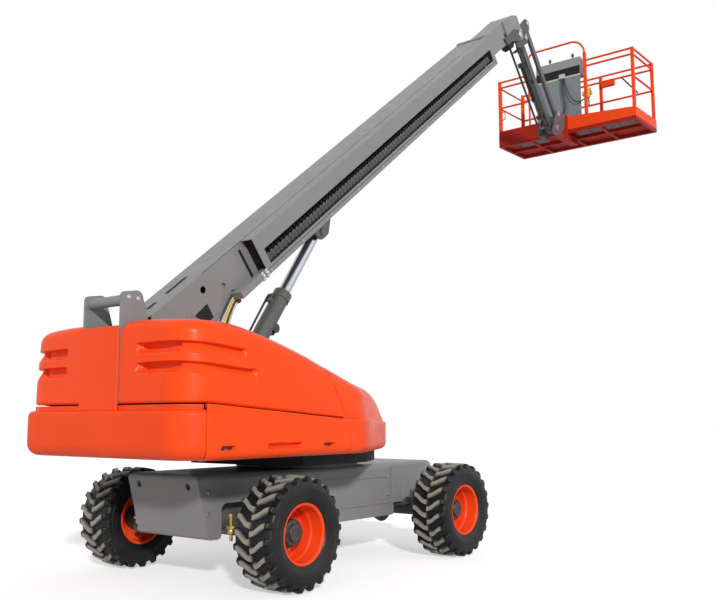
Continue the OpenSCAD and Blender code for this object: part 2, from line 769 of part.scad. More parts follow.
module engine() color([0.2, 0.2, 0.21]) translate([engine_x, -block_y, deck_z]) {
    translate([-engine_box[0] / 2, -engine_box[1] / 2, 0]) cube([engine_box[0], engine_box[1], sump_h]);
    translate([-engine_box[0] / 2, -engine_box[1] / 3, 0])
        cube([engine_box[0], engine_box[1] * 2 / 3, engine_box[2]]);
}

module tank() color([0.22, 0.22, 0.23]) translate([engine_x, block_y, deck_z])
    linear_extrude(tank_box[2]) polygon(rounded([
        [-tank_box[0] / 2, -tank_box[1] / 2, mid_round], [tank_box[0] / 2, -tank_box[1] / 2, mid_round],
        [tank_box[0] / 2, tank_box[1] / 2, mid_round], [-tank_box[0] / 2, tank_box[1] / 2, mid_round]]));

// Boom: X along it and Z square to it, from the pivot

module in_boom() {
    translate([-pivot_back, 0, pivot_z]) rotate([0, -boom_angle, 0]) children();
}

// A hollow section between two places along the boom
module section(w, h, top, from, to) difference() {
    block([from, -w / 2, top - h], [to, w / 2, top]);
    block([from - over, -w / 2 + boom_wall, top - h + boom_wall], [to + over, w / 2 - boom_wall, top - boom_wall]);
}

// Wear pads inside a section's mouth that the next section slides on
module wear_pads(w, h, top, mouth) {
    mid_z = top - h / 2;
    for (z = [top - h + boom_wall, top - boom_wall - section_gap + run_clear])
        block([mouth - pad_len, -pad_w / 2, z], [mouth, pad_w / 2, z + section_gap - run_clear]);
    for (y = [-w / 2 + boom_wall, w / 2 - boom_wall - section_gap + run_clear])
        block([mouth - pad_len, y, mid_z - pad_w / 2], [mouth, y + section_gap - run_clear, mid_z + pad_w / 2]);
}

module boom_base() color([0.5, 0.5, 0.5]) in_boom() {
    difference() {
        section(base_w, base_h, base_top, base_start - tail_reach, base_end);
        // The tail is cut on a slant, to swing clear of the rear panel
        plate_xz([[base_start - tail_reach - over, base_bottom + tail_low], [base_start, base_top + over],
                  [base_start - tail_reach - over, base_top + over]], -base_w, base_w);
        translate([hole_s, 0, hole_n]) rod_y(hole_r, -base_w, 0);
        translate([moon_s, 0, moon_n]) rod_y(moon_r, -base_w, 0);
        translate([hatch_s, 0, hatch_n]) rotate([0, boom_angle, 0])
            block([-hatch_half, -base_w, -hatch_half], [hatch_half, 0, hatch_half]);
    }
    wear_pads(base_w, base_h, base_top, base_end);
    // Ear plates down to the pivot
    both_sides() difference() {
        plate_xz(rounded([[-ear_r, -ear_r, ear_r - over], [ear_r, -ear_r, ear_r - over],
                          [ear_r + boom_pin_r * 2, base_bottom / 2, ear_r],
                          [ear_end_s, base_bottom, 0], [base_start - tail_reach, base_bottom, 0],
                          [-ear_r, base_bottom / 2, ear_r / 2]]),
                 base_w / 2 - ear_plate_t, base_w / 2);
        rod_y(boom_pin_r + pin_clear, -base_w, base_w);
    }
    // Clevis for the lift cylinder's rod
    both_sides() plate_xz(rounded([
        [clevis_pin_s - clevis_back, base_bottom, 0], [clevis_pin_s - clevis_back / 2, clevis_pin_n - eye_r, wide_round],
        [clevis_pin_s + clevis_back / 2, clevis_pin_n - eye_r, wide_round], [clevis_pin_s + clevis_front, base_bottom, 0]]),
        clevis_in_y, clevis_in_y + clevis_t);
    both_sides() translate([clevis_pin_s, 0, clevis_pin_n])
        rod_y(pin_head_r * 2 / 3, clevis_in_y + clevis_t, clevis_in_y + clevis_t + pin_head_t);
}

module cable_tray() color([0.5, 0.5, 0.5]) in_boom() {
    outer = -base_w / 2 - tray_d;
    difference() {
        block([tray_start, outer, base_bottom], [tray_end, -base_w / 2, base_top]);
        block([tray_start - over, outer + tray_wall, base_bottom + tray_wall],
              [tray_end - tray_wall, -base_w / 2 + over, base_top - tray_wall]);
        block([tray_start + window_margin, outer - over, base_bottom + window_low],
              [tray_end - window_margin, outer + tray_wall + over, base_bottom + window_low + window_h]);
    }
    // The lower rail that runs on behind the cover
    block([tray_rail_start, outer, base_bottom], [tray_start, outer + tray_rail_h, base_bottom + tray_rail_h]);
    block([tray_rail_start, outer, base_bottom], [tray_rail_start + tray_rail_h, -base_w / 2, base_bottom + tray_rail_h]);
}

// The cable chain lies in the tray: one strip with a notch between each two links
module cable_chain() color([0.1, 0.1, 0.1]) in_boom() {
    low = base_bottom + tray_wall;
    first = tray_start + chain_pitch;
    links = floor((tray_end - tray_start - 3 * chain_pitch) / chain_pitch);
    plate_xz([[first, low],
              for (i = [links - 1:-1:0]) each let (x = first + i * chain_pitch, top = low + window_low + chain_h)
                  [if (i == links - 1) [x + chain_pitch, low],
                   [x + chain_pitch, top - chain_cut], [x + chain_pitch - chain_gap, top - chain_cut],
                   [x + chain_pitch - chain_gap, top], [x, top]]],
             -base_w / 2 - tray_d + tray_wall + chain_in, -base_w / 2 - chain_in);
}

module boom_mid() color([0.5, 0.5, 0.5]) in_boom() {
    section(mid_w, mid_h, mid_top, mid_start, mid_end);
    wear_pads(mid_w, mid_h, mid_top, mid_end);
}

module boom_fly() color([0.5, 0.5, 0.5]) in_boom() {
    difference() {
        section(fly_w, fly_h, fly_top, fly_start, fly_end);
        // The lower half is cut away where the tip bracket swings
        block([fly_notch, -fly_w, fly_top - fly_h - over], [fly_end + over, fly_w, fly_top - fly_h / 2]);
    }
    // Cheeks and pin stubs that carry the tip bracket
    both_sides() {
        plate_xz(rounded([[cheek_start, fly_top - fly_h + cheek_low, 0], [tip_s, tip_n - cheek_r, 0],
                          [tip_s + cheek_r, tip_n - cheek_r, wide_round], [tip_s + cheek_r, fly_top - cheek_low, wide_round],
                          [tip_s - cheek_r, fly_top, wide_round], [cheek_start, fly_top, 0]]),
                 fly_w / 2, fly_w / 2 + cheek_t);
        translate([tip_s, 0, tip_n]) rod_y(tip_pin_r, tip_plate_y, fly_w / 2 + over);
    }
}

// Lift cylinder, along X from the base pin

module in_lift() {
    at_xz(base_pin) rotate([0, -lift_angle, 0]) children();
}

module lift_barrel() color([0.24, 0.24, 0.23]) in_lift() difference() {
    union() {
        rod_x(barrel_d / 2, base_eye_r / 2, barrel_length - gland_len);
        rod_x(gland_r, barrel_length - gland_len, barrel_length);
        rod_y(base_eye_r, -barrel_d / 2, barrel_d / 2);
        // Oil ports on the barrel's back
        for (x = [barrel_length - 2 * gland_len, barrel_length / 2])
            translate([x, 0, 0]) cylinder(r = port_r, h = barrel_d / 2 + port_len);
    }
    rod_y(lift_pin_r + pin_clear, -barrel_d, barrel_d);
    rod_x(rod_d / 2 + run_clear, lift_length - rod_tail - gland_len * 4, barrel_length + over);
}

module lift_rod() color([0.8, 0.8, 0.82]) in_lift() difference() {
    union() {
        rod_x(rod_d / 2, lift_length - rod_tail, lift_length);
        translate([lift_length, 0, 0]) rod_y(eye_r, -eye_half_w, eye_half_w);
    }
    translate([lift_length, 0, 0]) rod_y(eye_r / 2, -rod_d, rod_d);
}

// Boom tip and jib: three parallel members between the tip bracket and the upright

module tip_bracket() color([0.09, 0.09, 0.09]) both_sides() {
    difference() {
        plate_xz(rounded([
            [tip_pin[0] - tip_plate_r, tip_pin[1] - tip_lobe, lobe_r],
            [tip_pin[0] + tip_plate_r, tip_pin[1] - tip_lobe, lobe_r],
            [arm_pin[0] + tip_plate_r, arm_pin[1] - tip_plate_r, lobe_r],
            [upper_pin[0] + tip_plate_r, upper_pin[1] - tip_plate_r, lobe_r],
            [upper_pin[0] + tip_plate_r, upper_pin[1] + tip_plate_r, lobe_r],
            [upper_pin[0] - tip_plate_r, upper_pin[1] + tip_plate_r, lobe_r],
            [tip_pin[0] - tip_plate_r, tip_pin[1] + tip_plate_r, lobe_r]]),
            tip_plate_y, tip_plate_y + tip_plate_t);
        at_xz(tip_pin) rod_y(tip_pin_r + pin_clear, 0, base_w);
    }
    // Pin stubs inwards to the members
    at_xz(upper_pin) rod_y(jib_pin_r, link_y + link_t + run_clear, tip_plate_y + over);
    at_xz(arm_pin) rod_y(jib_pin_r, arm_half_w + run_clear, tip_plate_y + over);
}

// A box arm between two pins of the jib, round at its ends
module jib_member(pin, y0, y1, h) {
    at_xz(pin) rotate([0, -jib_angle, 0]) {
        block([0, y0, -h / 2], [jib_length, y1, h / 2]);
        for (x = [0, jib_length]) translate([x, 0, 0]) rod_y(boss_r, y0, y1);
    }
}

module jib_arm() color([0.45, 0.45, 0.45]) jib_member(arm_pin, -arm_half_w, arm_half_w, arm_h);
module jib_links() color([0.5, 0.5, 0.5]) both_sides() jib_member(upper_pin, link_y, link_y + link_t, link_h);

// Two tubes under the arm, on hangers that stand on the arm's lower face
module jib_lower_rods() color([0.12, 0.12, 0.12]) at_xz(arm_pin) rotate([0, -jib_angle, 0]) {
    both_sides() translate([0, rod_link_y, -rod_drop]) rod_x(rod_link_r, rod_start, jib_length - rod_end);
    for (x = [hanger_in, jib_length - hanger_in - hanger_t])
        prism_x([[-arm_half_w, -arm_h / 2], [-rod_link_y, -rod_drop], [rod_link_y, -rod_drop],
                 [arm_half_w, -arm_h / 2]], x, x + hanger_t);
}

module jib_upright() color([0.5, 0.5, 0.5]) {
    upper = upper_pin + jib_vector;
    arm = arm_pin + jib_vector;
    both_sides() {
        plate_xz(rounded([
            [arm[0] - upright_foot, arm[1] - tip_plate_r, lobe_r], [arm[0] - upright_foot, arm[1] - 2 * tip_plate_r, lobe_r],
            [arm[0] + tip_plate_r, arm[1] - 2 * tip_plate_r, lobe_r],
            [web_front, platform_z + rotor_low, 0], [web_front, platform_z + rotor_high, 0],
            [upper[0] + boss_r, upper[1] + boss_r, lobe_r], [upper[0] - boss_r, upper[1] + boss_r, lobe_r]]),
            tip_plate_y, tip_plate_y + tip_plate_t);
        at_xz(upper) rod_y(jib_pin_r, link_y + link_t + run_clear, tip_plate_y + over);
        at_xz(arm) rod_y(jib_pin_r, arm_half_w + run_clear, tip_plate_y + over);
    }
    // Web and the housing of the turning actuator
    block([web_front - web_len, -tip_plate_y - over, platform_z + 2 * rotor_low],
          [web_front, tip_plate_y + over, platform_z + rotor_high - rotor_low]);
    block([web_front - over, -rotor_r * 2 / 3, platform_z + 2 * rotor_low],
          [axis_x, rotor_r * 2 / 3, platform_z + rotor_high - rotor_low]);
    translate([axis_x, 0, platform_z + rotor_low]) cylinder(r = rotor_r, h = rotor_high - rotor_low);
}

// Platform

module platform_mount() color([0.85, 0.2, 0.05]) {
    // Arm under the floor, the post in front of the near face and the cap over the actuator
    block([axis_x, -mount_half_w, platform_z - mount_low], [axis_x + mount_reach, mount_half_w, platform_z]);
    translate([axis_x, 0, platform_z - mount_low]) cylinder(r = mount_half_w, h = mount_low + rotor_low - run_clear);
    block([axis_x + mount_t + mount_gap, -mount_half_w, platform_z - mount_low],
          [platform_x, mount_half_w, platform_z + mount_top]);
    block([axis_x, -mount_half_w, platform_z + rotor_high + run_clear],
          [platform_x, mount_half_w, platform_z + mount_top]);
    translate([axis_x, 0, platform_z + rotor_high + run_clear])
        cylinder(r = mount_half_w, h = mount_top - rotor_high - run_clear);
}

module on_platform() {
    translate([platform_x, 0, platform_z]) children();
}

module platform_floor() color([0.75, 0.17, 0.05]) on_platform() {
    // Frame beams and the tread plate on them
    for (x = [0, platform_d / 2 - beam / 2, platform_d - beam])
        block([x, -platform_y, 0], [x + beam, platform_y, beam]);
    for (y = [-platform_y, -platform_y / 2, -beam / 2, platform_y / 2, platform_y - beam])
        block([0, y, 0], [platform_d, y + beam, beam]);
    block([0, -platform_y, beam], [platform_d, platform_y, beam + floor_t]);
    // The raised tread between the posts
    block([tread_inset, -platform_y + tread_inset, beam + floor_t],
          [platform_d - tread_inset, platform_y - tread_inset, beam + floor_t + tread_t]);
}

module toe_boards() color([0.95, 0.27, 0.06]) on_platform() {
    top = beam + floor_t;
    prism_x([[-platform_y, top], [platform_y, top], [platform_y, top + toe_h], [0, top + toe_h + toe_rise],
             [-platform_y, top + toe_h]], 0, toe_t);
    block([platform_d - toe_t, -platform_y, top], [platform_d, platform_y, top + toe_h]);
    block([toe_t, -platform_y, top], [platform_d - toe_t, -platform_y + toe_t, top + toe_h]);
}

// A quarter bend of a rail tube in the YZ plane, from its centre, turned by an angle
module rail_bend(r, turn) rotate([90, 0, 90]) rotate([0, 0, turn])
    rotate_extrude(angle = 90) translate([r, 0]) circle(r = rail_r);

module platform_rails() color([0.95, 0.27, 0.06]) on_platform() {
    low = beam + floor_t;
    inset = toe_t + rail_r;
    high = rail_h - rail_r;
    far_x = platform_d - inset;
    near_y = -platform_y + inset;
    far_y = platform_y - post / 2;
    // Rails along the far face and the closed end, and along the near face on both sides of the console
    for (z = [mid_rail_h, high - double_drop, high]) {
        translate([far_x, 0, z]) rod_y(rail_r, near_y, far_y);
        translate([0, near_y, z]) rod_x(rail_r, inset, far_x);
        translate([inset, 0, z]) rod_y(rail_r, hoop_high_y, far_y);
    }
    for (z = [high - double_drop, high]) translate([inset, 0, z]) rod_y(rail_r, near_y, hoop_low_y + post / 2);
    // Corner posts, and posts along the far face
    for (x = [toe_t, platform_d - toe_t - post], y = [-platform_y + toe_t, platform_y - post])
        block([x, y, low], [x + post, y + post, high + rail_r]);
    for (y = far_posts) block([platform_d - toe_t - post, y, low], [platform_d - toe_t, y + post, high]);
    // Hinge lugs and pins for the gate, on the far post
    translate([gate_axis_x, far_y, 0])
        for (end = [[gate_low - run_clear - gate_lug_t, gate_low - run_clear - gate_lug_t],
                    [gate_high + run_clear, gate_high + run_clear + gate_lug_t - gate_pin_len]]) {
            translate([0, -gate_tube_r, end[0]]) cube([gate_gap + gate_tube_r + over, 2 * gate_tube_r, gate_lug_t]);
            translate([0, 0, end[1]]) cylinder(r = gate_pin_r, h = gate_pin_len);
        }
    // Hoop over the console, on a flat post and a tube
    hoop_y = hoop_low_y + post / 2;
    block([toe_t, hoop_low_y, low], [toe_t + post, hoop_low_y + post, hoop_h - hoop_round]);
    translate([inset, 0, 0]) {
        translate([0, hoop_high_y, low]) cylinder(r = rail_r, h = hoop_h - rail_round - low);
        translate([0, 0, hoop_h]) rod_y(rail_r, hoop_y + hoop_round, hoop_high_y - rail_round);
        translate([0, hoop_high_y - rail_round, hoop_h - rail_round]) rail_bend(rail_round, 0);
        translate([0, hoop_y + hoop_round, hoop_h - hoop_round]) rail_bend(hoop_round, 90);
    }
}

module console() color([0.45, 0.45, 0.45]) on_platform()
    translate([toe_t + post, console_y, console_z])
        plate_xz(rounded([[0, 0, 0], [console_box[0], 0, small_round], [console_box[0], console_box[2] - console_lean, small_round],
                          [0, console_box[2], small_round]]),
                 -console_box[1] / 2, console_box[1] / 2);

module console_panel() color([0.62, 0.68, 0.72]) on_platform()
    block([toe_t + post, console_y - console_box[1] / 2, beam + floor_t],
          [toe_t + post + panel_t, console_y + console_box[1] / 2, console_z]);

module gate() color([0.95, 0.27, 0.06]) on_platform() difference() {
    free_x = toe_t + post + gate_gap + gate_tube_r;
    translate([0, platform_y - post / 2, 0]) {
        for (z = [gate_low + gate_tube_r, mid_rail_h, gate_high - gate_tube_r])
            translate([0, 0, z]) rod_x(gate_tube_r, free_x, gate_axis_x);
        for (x = [free_x, gate_axis_x])
            translate([x, 0, gate_low]) cylinder(r = gate_tube_r, h = gate_high - gate_low);
    }
    translate([gate_axis_x, platform_y - post / 2, gate_low - over])
        cylinder(r = gate_pin_r + pin_clear, h = gate_high - gate_low + 2 * over);
}

chassis_frame();
slew_ring();
drive_axle();
steer_axle();
knuckle_near();
knuckle_far();
tyre_at(WHEELS[0]);  // tyre_tail_near
tyre_at(WHEELS[1]);  // tyre_tail_far
tyre_at(WHEELS[2]);  // tyre_front_near
tyre_at(WHEELS[3]);  // tyre_front_far
rim_at(WHEELS[0]);  // rim_tail_near
rim_at(WHEELS[1]);  // rim_tail_far
rim_at(WHEELS[2]);  // rim_front_near
rim_at(WHEELS[3]);  // rim_front_far
hub_at(WHEELS[0]);  // hub_tail_near
hub_at(WHEELS[1]);  // hub_tail_far
hub_at(WHEELS[2]);  // hub_front_near
hub_at(WHEELS[3]);  // hub_front_far
turntable();
counterweight();
skirt_near();
skirt_far();
nose_near();
nose_far();
rear_panel();
engine();
tank();
hood_near();
hood_far();
boom_base();
cable_tray();
cable_chain();
boom_mid();
boom_fly();
lift_barrel();
lift_rod();
tip_bracket();
jib_arm();
jib_links();
jib_lower_rods();
jib_upright();
platform_mount();
platform_floor();
toe_boards();
platform_rails();
console();
console_panel();
gate();
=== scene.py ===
"""Looks of a self-propelled telescopic boom lift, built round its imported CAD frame.

Every piece is worked out with numpy as a surface of two parameters or as a profile carried along a path, in metres,
in the frame of the CAD part: +X towards the boom's tip, +Y to the far side, +Z up, origin on the ground.
"""
from __future__ import annotations

import json
import logging
import math
from dataclasses import dataclass
from enum import Enum
from typing import Iterable, Sequence

import bmesh
import bpy
import numpy as np
from mathutils import Matrix

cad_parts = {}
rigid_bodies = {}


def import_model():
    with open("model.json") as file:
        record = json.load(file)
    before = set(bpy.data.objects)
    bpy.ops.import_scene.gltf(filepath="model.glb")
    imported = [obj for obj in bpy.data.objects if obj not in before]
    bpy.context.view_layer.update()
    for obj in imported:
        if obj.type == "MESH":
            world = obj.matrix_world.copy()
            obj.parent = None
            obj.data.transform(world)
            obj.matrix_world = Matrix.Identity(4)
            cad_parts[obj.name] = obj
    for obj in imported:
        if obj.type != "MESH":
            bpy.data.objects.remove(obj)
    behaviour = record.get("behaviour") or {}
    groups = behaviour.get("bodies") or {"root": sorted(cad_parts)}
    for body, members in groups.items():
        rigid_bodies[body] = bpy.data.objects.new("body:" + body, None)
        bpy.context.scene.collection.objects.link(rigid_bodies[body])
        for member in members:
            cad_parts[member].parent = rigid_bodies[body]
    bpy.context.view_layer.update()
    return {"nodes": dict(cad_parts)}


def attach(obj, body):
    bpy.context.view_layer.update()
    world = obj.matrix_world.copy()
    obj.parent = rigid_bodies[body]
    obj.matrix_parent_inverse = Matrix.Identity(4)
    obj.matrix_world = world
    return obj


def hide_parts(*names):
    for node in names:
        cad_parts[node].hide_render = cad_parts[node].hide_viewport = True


LOG = logging.getLogger("boom_lift")
Array = np.ndarray
Point = Sequence[float]
Colour = tuple[float, float, float]
IMAGE_W = 716
NEAR, FAR = -1, 1


class Axis(Enum):
    """An axis of the frame, by its index."""

    X = 0
    Y = 1
    Z = 2


# Shapes


@dataclass
class Shape:
    """Points and faces of a piece, before it becomes a mesh."""

    points: Array
    faces: list[list[int]]

    @staticmethod
    def join(shapes: Iterable["Shape"]) -> "Shape":
        """One shape from several, their faces renumbered by the points before them.

        Args:
            shapes: the shapes to join.

        Returns:
            The joined shape.
        """
        shapes = list(shapes)
        starts = np.cumsum([0] + [len(s.points) for s in shapes])
        faces = [[i + int(start) for i in f] for s, start in zip(shapes, starts) for f in s.faces]
        return Shape(np.concatenate([s.points for s in shapes]), faces)

    def shifted(self, offset: Point) -> "Shape":
        """The shape moved by an offset."""
        return Shape(self.points + np.asarray(offset, float), self.faces)

    def turned(self, turn: Array, centre: Point = (0, 0, 0)) -> "Shape":
        """The shape turned by a 3 by 3 matrix about a centre."""
        c = np.asarray(centre, float)
        return Shape((self.points - c) @ turn.T + c, self.faces)

    def mirrored(self) -> "Shape":
        """The shape's mirror image across the machine's middle plane, its faces turned round."""
        return Shape(self.points * [1, -1, 1], [f[::-1] for f in self.faces])


def turn_about(axis: Axis, degrees: float) -> Array:
    """Matrix of a turn about one axis of the frame.

    Args:
        axis: the axis turned about.
        degrees: the angle, by the right hand.

    Returns:
        A 3 by 3 matrix.
    """
    c, s = math.cos(math.radians(degrees)), math.sin(math.radians(degrees))
    i, j = [(1, 2), (2, 0), (0, 1)][axis.value]
    m = np.eye(3)
    m[i, i], m[i, j], m[j, i], m[j, j] = c, -s, s, c
    return m


def grid(points: Array, wrap_rows: bool = False, wrap_cols: bool = False) -> Shape:
    """Quads over a grid of points: cell (i, j) joins points (i, j), (i, j+1), (i+1, j+1) and (i+1, j).

    Args:
        points: an array of rows by columns by 3.
        wrap_rows: whether the last row joins the first.
        wrap_cols: whether the last column joins the first.

    Returns:
        The shape.
    """
    rows, cols = points.shape[:2]
    i, j = np.meshgrid(np.arange(rows if wrap_rows else rows - 1), np.arange(cols if wrap_cols else cols - 1),
                       indexing="ij")
    k, m = (i + 1) % rows, (j + 1) % cols
    faces = np.stack([i * cols + j, i * cols + m, k * cols + m, k * cols + j], -1).reshape(-1, 4)
    return Shape(points.reshape(-1, 3), faces.tolist())


def capped(points: Array) -> Shape:
    """A closed skin over rings: quads between the rings, one face over the first ring and one over the last.

    Args:
        points: an array of rings by points of a ring by 3.

    Returns:
        The shape.
    """
    skin = grid(points, wrap_cols=True)
    rings, n = points.shape[:2]
    ends = [list(range(n))[::-1], list(range((rings - 1) * n, rings * n))]
    return Shape(skin.points, skin.faces + ends)


def lipped(points: Array, inside: Point, depth: float = 0.030, edge: float = 0.004) -> Shape:
    """A grid whose first and last columns turn inwards: the edge drawn back, then two columns along the inner normal.

    Args:
        points: an array of rows by columns by 3.
        inside: a point on the inner side of the surface.
        depth: how far the lip goes in.
        edge: the chamfer at the lip's corner.

    Returns:
        The shape.
    """
    normal = unit(np.cross(np.gradient(points, axis=0), np.gradient(points, axis=1)))
    normal *= np.sign(np.sum(normal * (np.asarray(inside, float) - points)))
    ends = []
    for last, before in ((0, 1), (-1, -2)):
        back = unit(points[:, before] - points[:, last]) * edge
        rim, turn = points[:, last], normal[:, last]
        ends.append([rim + turn * depth, rim + turn * edge, rim + back])
    columns = np.stack(ends[0], 1), points[:, 1:-1], np.stack(ends[1][::-1], 1)
    return grid(np.concatenate(columns, axis=1))


def unit(v: Array) -> Array:
    """Vectors scaled to length 1 along the last axis."""
    return v / np.maximum(np.linalg.norm(v, axis=-1, keepdims=True), 1e-12)


def smooth(x: Array) -> Array:
    """The smooth step 3x^2 - 2x^3 of x held between 0 and 1."""
    t = np.clip(x, 0, 1)
    return t * t * (3 - 2 * t)


def window(x: Array, low: float, high: float, edge: float) -> Array:
    """1 between two places and 0 outside, with a smooth step of the edge's width at each."""
    return smooth((x - low) / edge + 0.5) * smooth((high - x) / edge + 0.5)


def circle(radius: float, sides: int) -> Array:
    """Points of a circle, radius times (cos a, sin a), as an array of sides by 2."""
    a = np.arange(sides) * 2 * math.pi / sides
    return radius * np.stack([np.cos(a), np.sin(a)], -1)


def rounded_path(corners: Sequence[Point], radius: float, steps: int = 6) -> Array:
    """A path through corners, each inner corner replaced by a quadratic curve that starts and ends a radius away.

    Args:
        corners: the corners, in order.
        radius: how far from a corner its curve starts.
        steps: pieces of each curve.

    Returns:
        The path's points.
    """
    p = np.asarray(corners, float)
    t = np.linspace(0, 1, steps + 1)[:, None]
    parts = [p[:1]]
    for a, b, c in zip(p[:-2], p[1:-1], p[2:]):
        reach = min(radius, 0.49 * np.linalg.norm(a - b), 0.49 * np.linalg.norm(c - b))
        start, end = b + unit(a - b) * reach, b + unit(c - b) * reach
        parts.append((1 - t) ** 2 * start + 2 * t * (1 - t) * b + t ** 2 * end)
    return np.concatenate(parts + [p[-1:]])


def sweep(section: Array, path: Array, up: Point = (0.31, 0.22, 0.92)) -> Shape:
    """A section carried along a path: point p of the section at station q lies at q + p0 side + p1 lift.

    Args:
        section: outline points, n by 2.
        path: stations, m by 3.
        up: a direction that no part of the path follows.

    Returns:
        The closed shape.
    """
    along = unit(np.gradient(path, axis=0))
    side = unit(np.cross(along, np.asarray(up, float)))
    lift = np.cross(side, along)
    return capped(path[:, None] + section[None, :, :1] * side[:, None] + section[None, :, 1:] * lift[:, None])


def tube(corners: Sequence[Point], radius: float, bend: float = 0.0, sides: int = 14) -> Shape:
    """A round tube along a path with rounded corners.

    Args:
        corners: the path's corners.
        radius: the tube's radius.
        bend: how far from a corner its curve starts.
        sides: sides of the section.

    Returns:
        The closed shape.
    """
    path = rounded_path(corners, bend) if bend else np.asarray(corners, float)
    along = unit(path[-1] - path[0])
    up = np.eye(3)[int(np.argmin(np.abs(along)))] + 0.07
    return sweep(circle(radius, sides), path, up)


def placed(local: Array, axis: Axis, centre: Point) -> Array:
    """Points given as (across, across, along) an axis, set in the frame at a centre."""
    order = {Axis.X: (2, 0, 1), Axis.Y: (1, 2, 0), Axis.Z: (0, 1, 2)}[axis]
    return np.stack([local[..., k] for k in order], -1) + np.asarray(centre, float)


def lathe(profile: Sequence[tuple[float, float]], centre: Point, axis: Axis, steps: int = 48,
          wrap: bool = False) -> Shape:
    """A profile of (radius, place along the axis) turned round an axis: r (cos a, sin a) and u along it.

    Args:
        profile: the profile's points, in order.
        centre: where the axis has its zero.
        axis: the axis turned about.
        steps: points of each ring.
        wrap: whether the profile is a closed ring, as of a tyre.

    Returns:
        The shape, closed at its two ends unless it wraps.
    """
    p = np.asarray(profile, float)
    ring = circle(1.0, steps)
    local = np.concatenate([p[:, None, :1] * ring[None], np.broadcast_to(p[:, None, 1:], (len(p), steps, 1))], -1)
    points = placed(local, axis, centre)
    return grid(points, wrap_rows=True, wrap_cols=True) if wrap else capped(points)


def plate(outline: Sequence[Point], axis: Axis, low: float, high: float, edge: float = 0.003) -> Shape:
    """A plate square to an axis, its rims chamfered: the outline drawn in by the edge at both faces.

    Args:
        outline: corners in the plane, in the order of the other two axes (YZ, XZ or XY).
        axis: the axis across the plate.
        low: the plate's lower face along the axis.
        high: its higher face.
        edge: the chamfer.

    Returns:
        The closed shape.
    """
    p = np.asarray(outline, float)
    area = np.sum(p[:, 0] * np.roll(p[:, 1], -1) - np.roll(p[:, 0], -1) * p[:, 1])
    before, after = unit(p - np.roll(p, 1, 0)), unit(np.roll(p, -1, 0) - p)
    inward = np.stack([-(before + after)[:, 1], (before + after)[:, 0]], -1) * np.sign(area)
    half = np.maximum(np.linalg.norm(inward, axis=1, keepdims=True) / 2, 0.35)
    drawn = p + unit(inward) * edge / half
    rings = [(drawn, low), (p, low + edge), (p, high - edge), (drawn, high)]
    i, j = [k for k in range(3) if k != axis.value]
    points = np.zeros((4, len(p), 3))
    for ring, (q, u) in enumerate(rings):
        points[ring, :, i], points[ring, :, j], points[ring, :, axis.value] = q[:, 0], q[:, 1], u
    return capped(points)


def brick(low: Point, high: Point, edge: float = 0.003) -> Shape:
    """A block between two corners with chamfered rims."""
    (x0, y0, z0), (x1, y1, z1) = low, high
    return plate([(x0, y0), (x1, y0), (x1, y1), (x0, y1)], Axis.Z, z0, z1, edge)


def bolt(centre: Point, axis: Axis, radius: float, out: float = 1.0) -> Shape:
    """A hexagon head on a washer, standing out along an axis: two turned profiles, the head's with 6 steps.

    Args:
        centre: the middle of the washer's seat.
        axis: the bolt's axis.
        radius: half the head's width over its corners.
        out: 1 or -1, the way it stands out.

    Returns:
        The shape.
    """
    washer = [(0.0, 0), (1.35 * radius, 0), (1.35 * radius, 0.2 * radius), (0.0, 0.2 * radius)]
    head = [(0.0, 0.1 * radius), (radius, 0.1 * radius), (radius, 0.75 * radius), (0.82 * radius, 0.9 * radius),
            (0.0, 0.9 * radius)]
    return Shape.join([lathe([(r, out * u) for r, u in washer], centre, axis, 14),
                       lathe([(r, out * u) for r, u in head], centre, axis, 6)])


# Finishes


class Grain(Enum):
    """The small relief of a surface."""

    PEEL = "the soft ripple of sprayed paint"
    CAST = "the pitted skin of a casting"
    SCORED = "fine lines along the Z axis of a polished rod"
    MOULDED = "the fine grain of a moulded part"


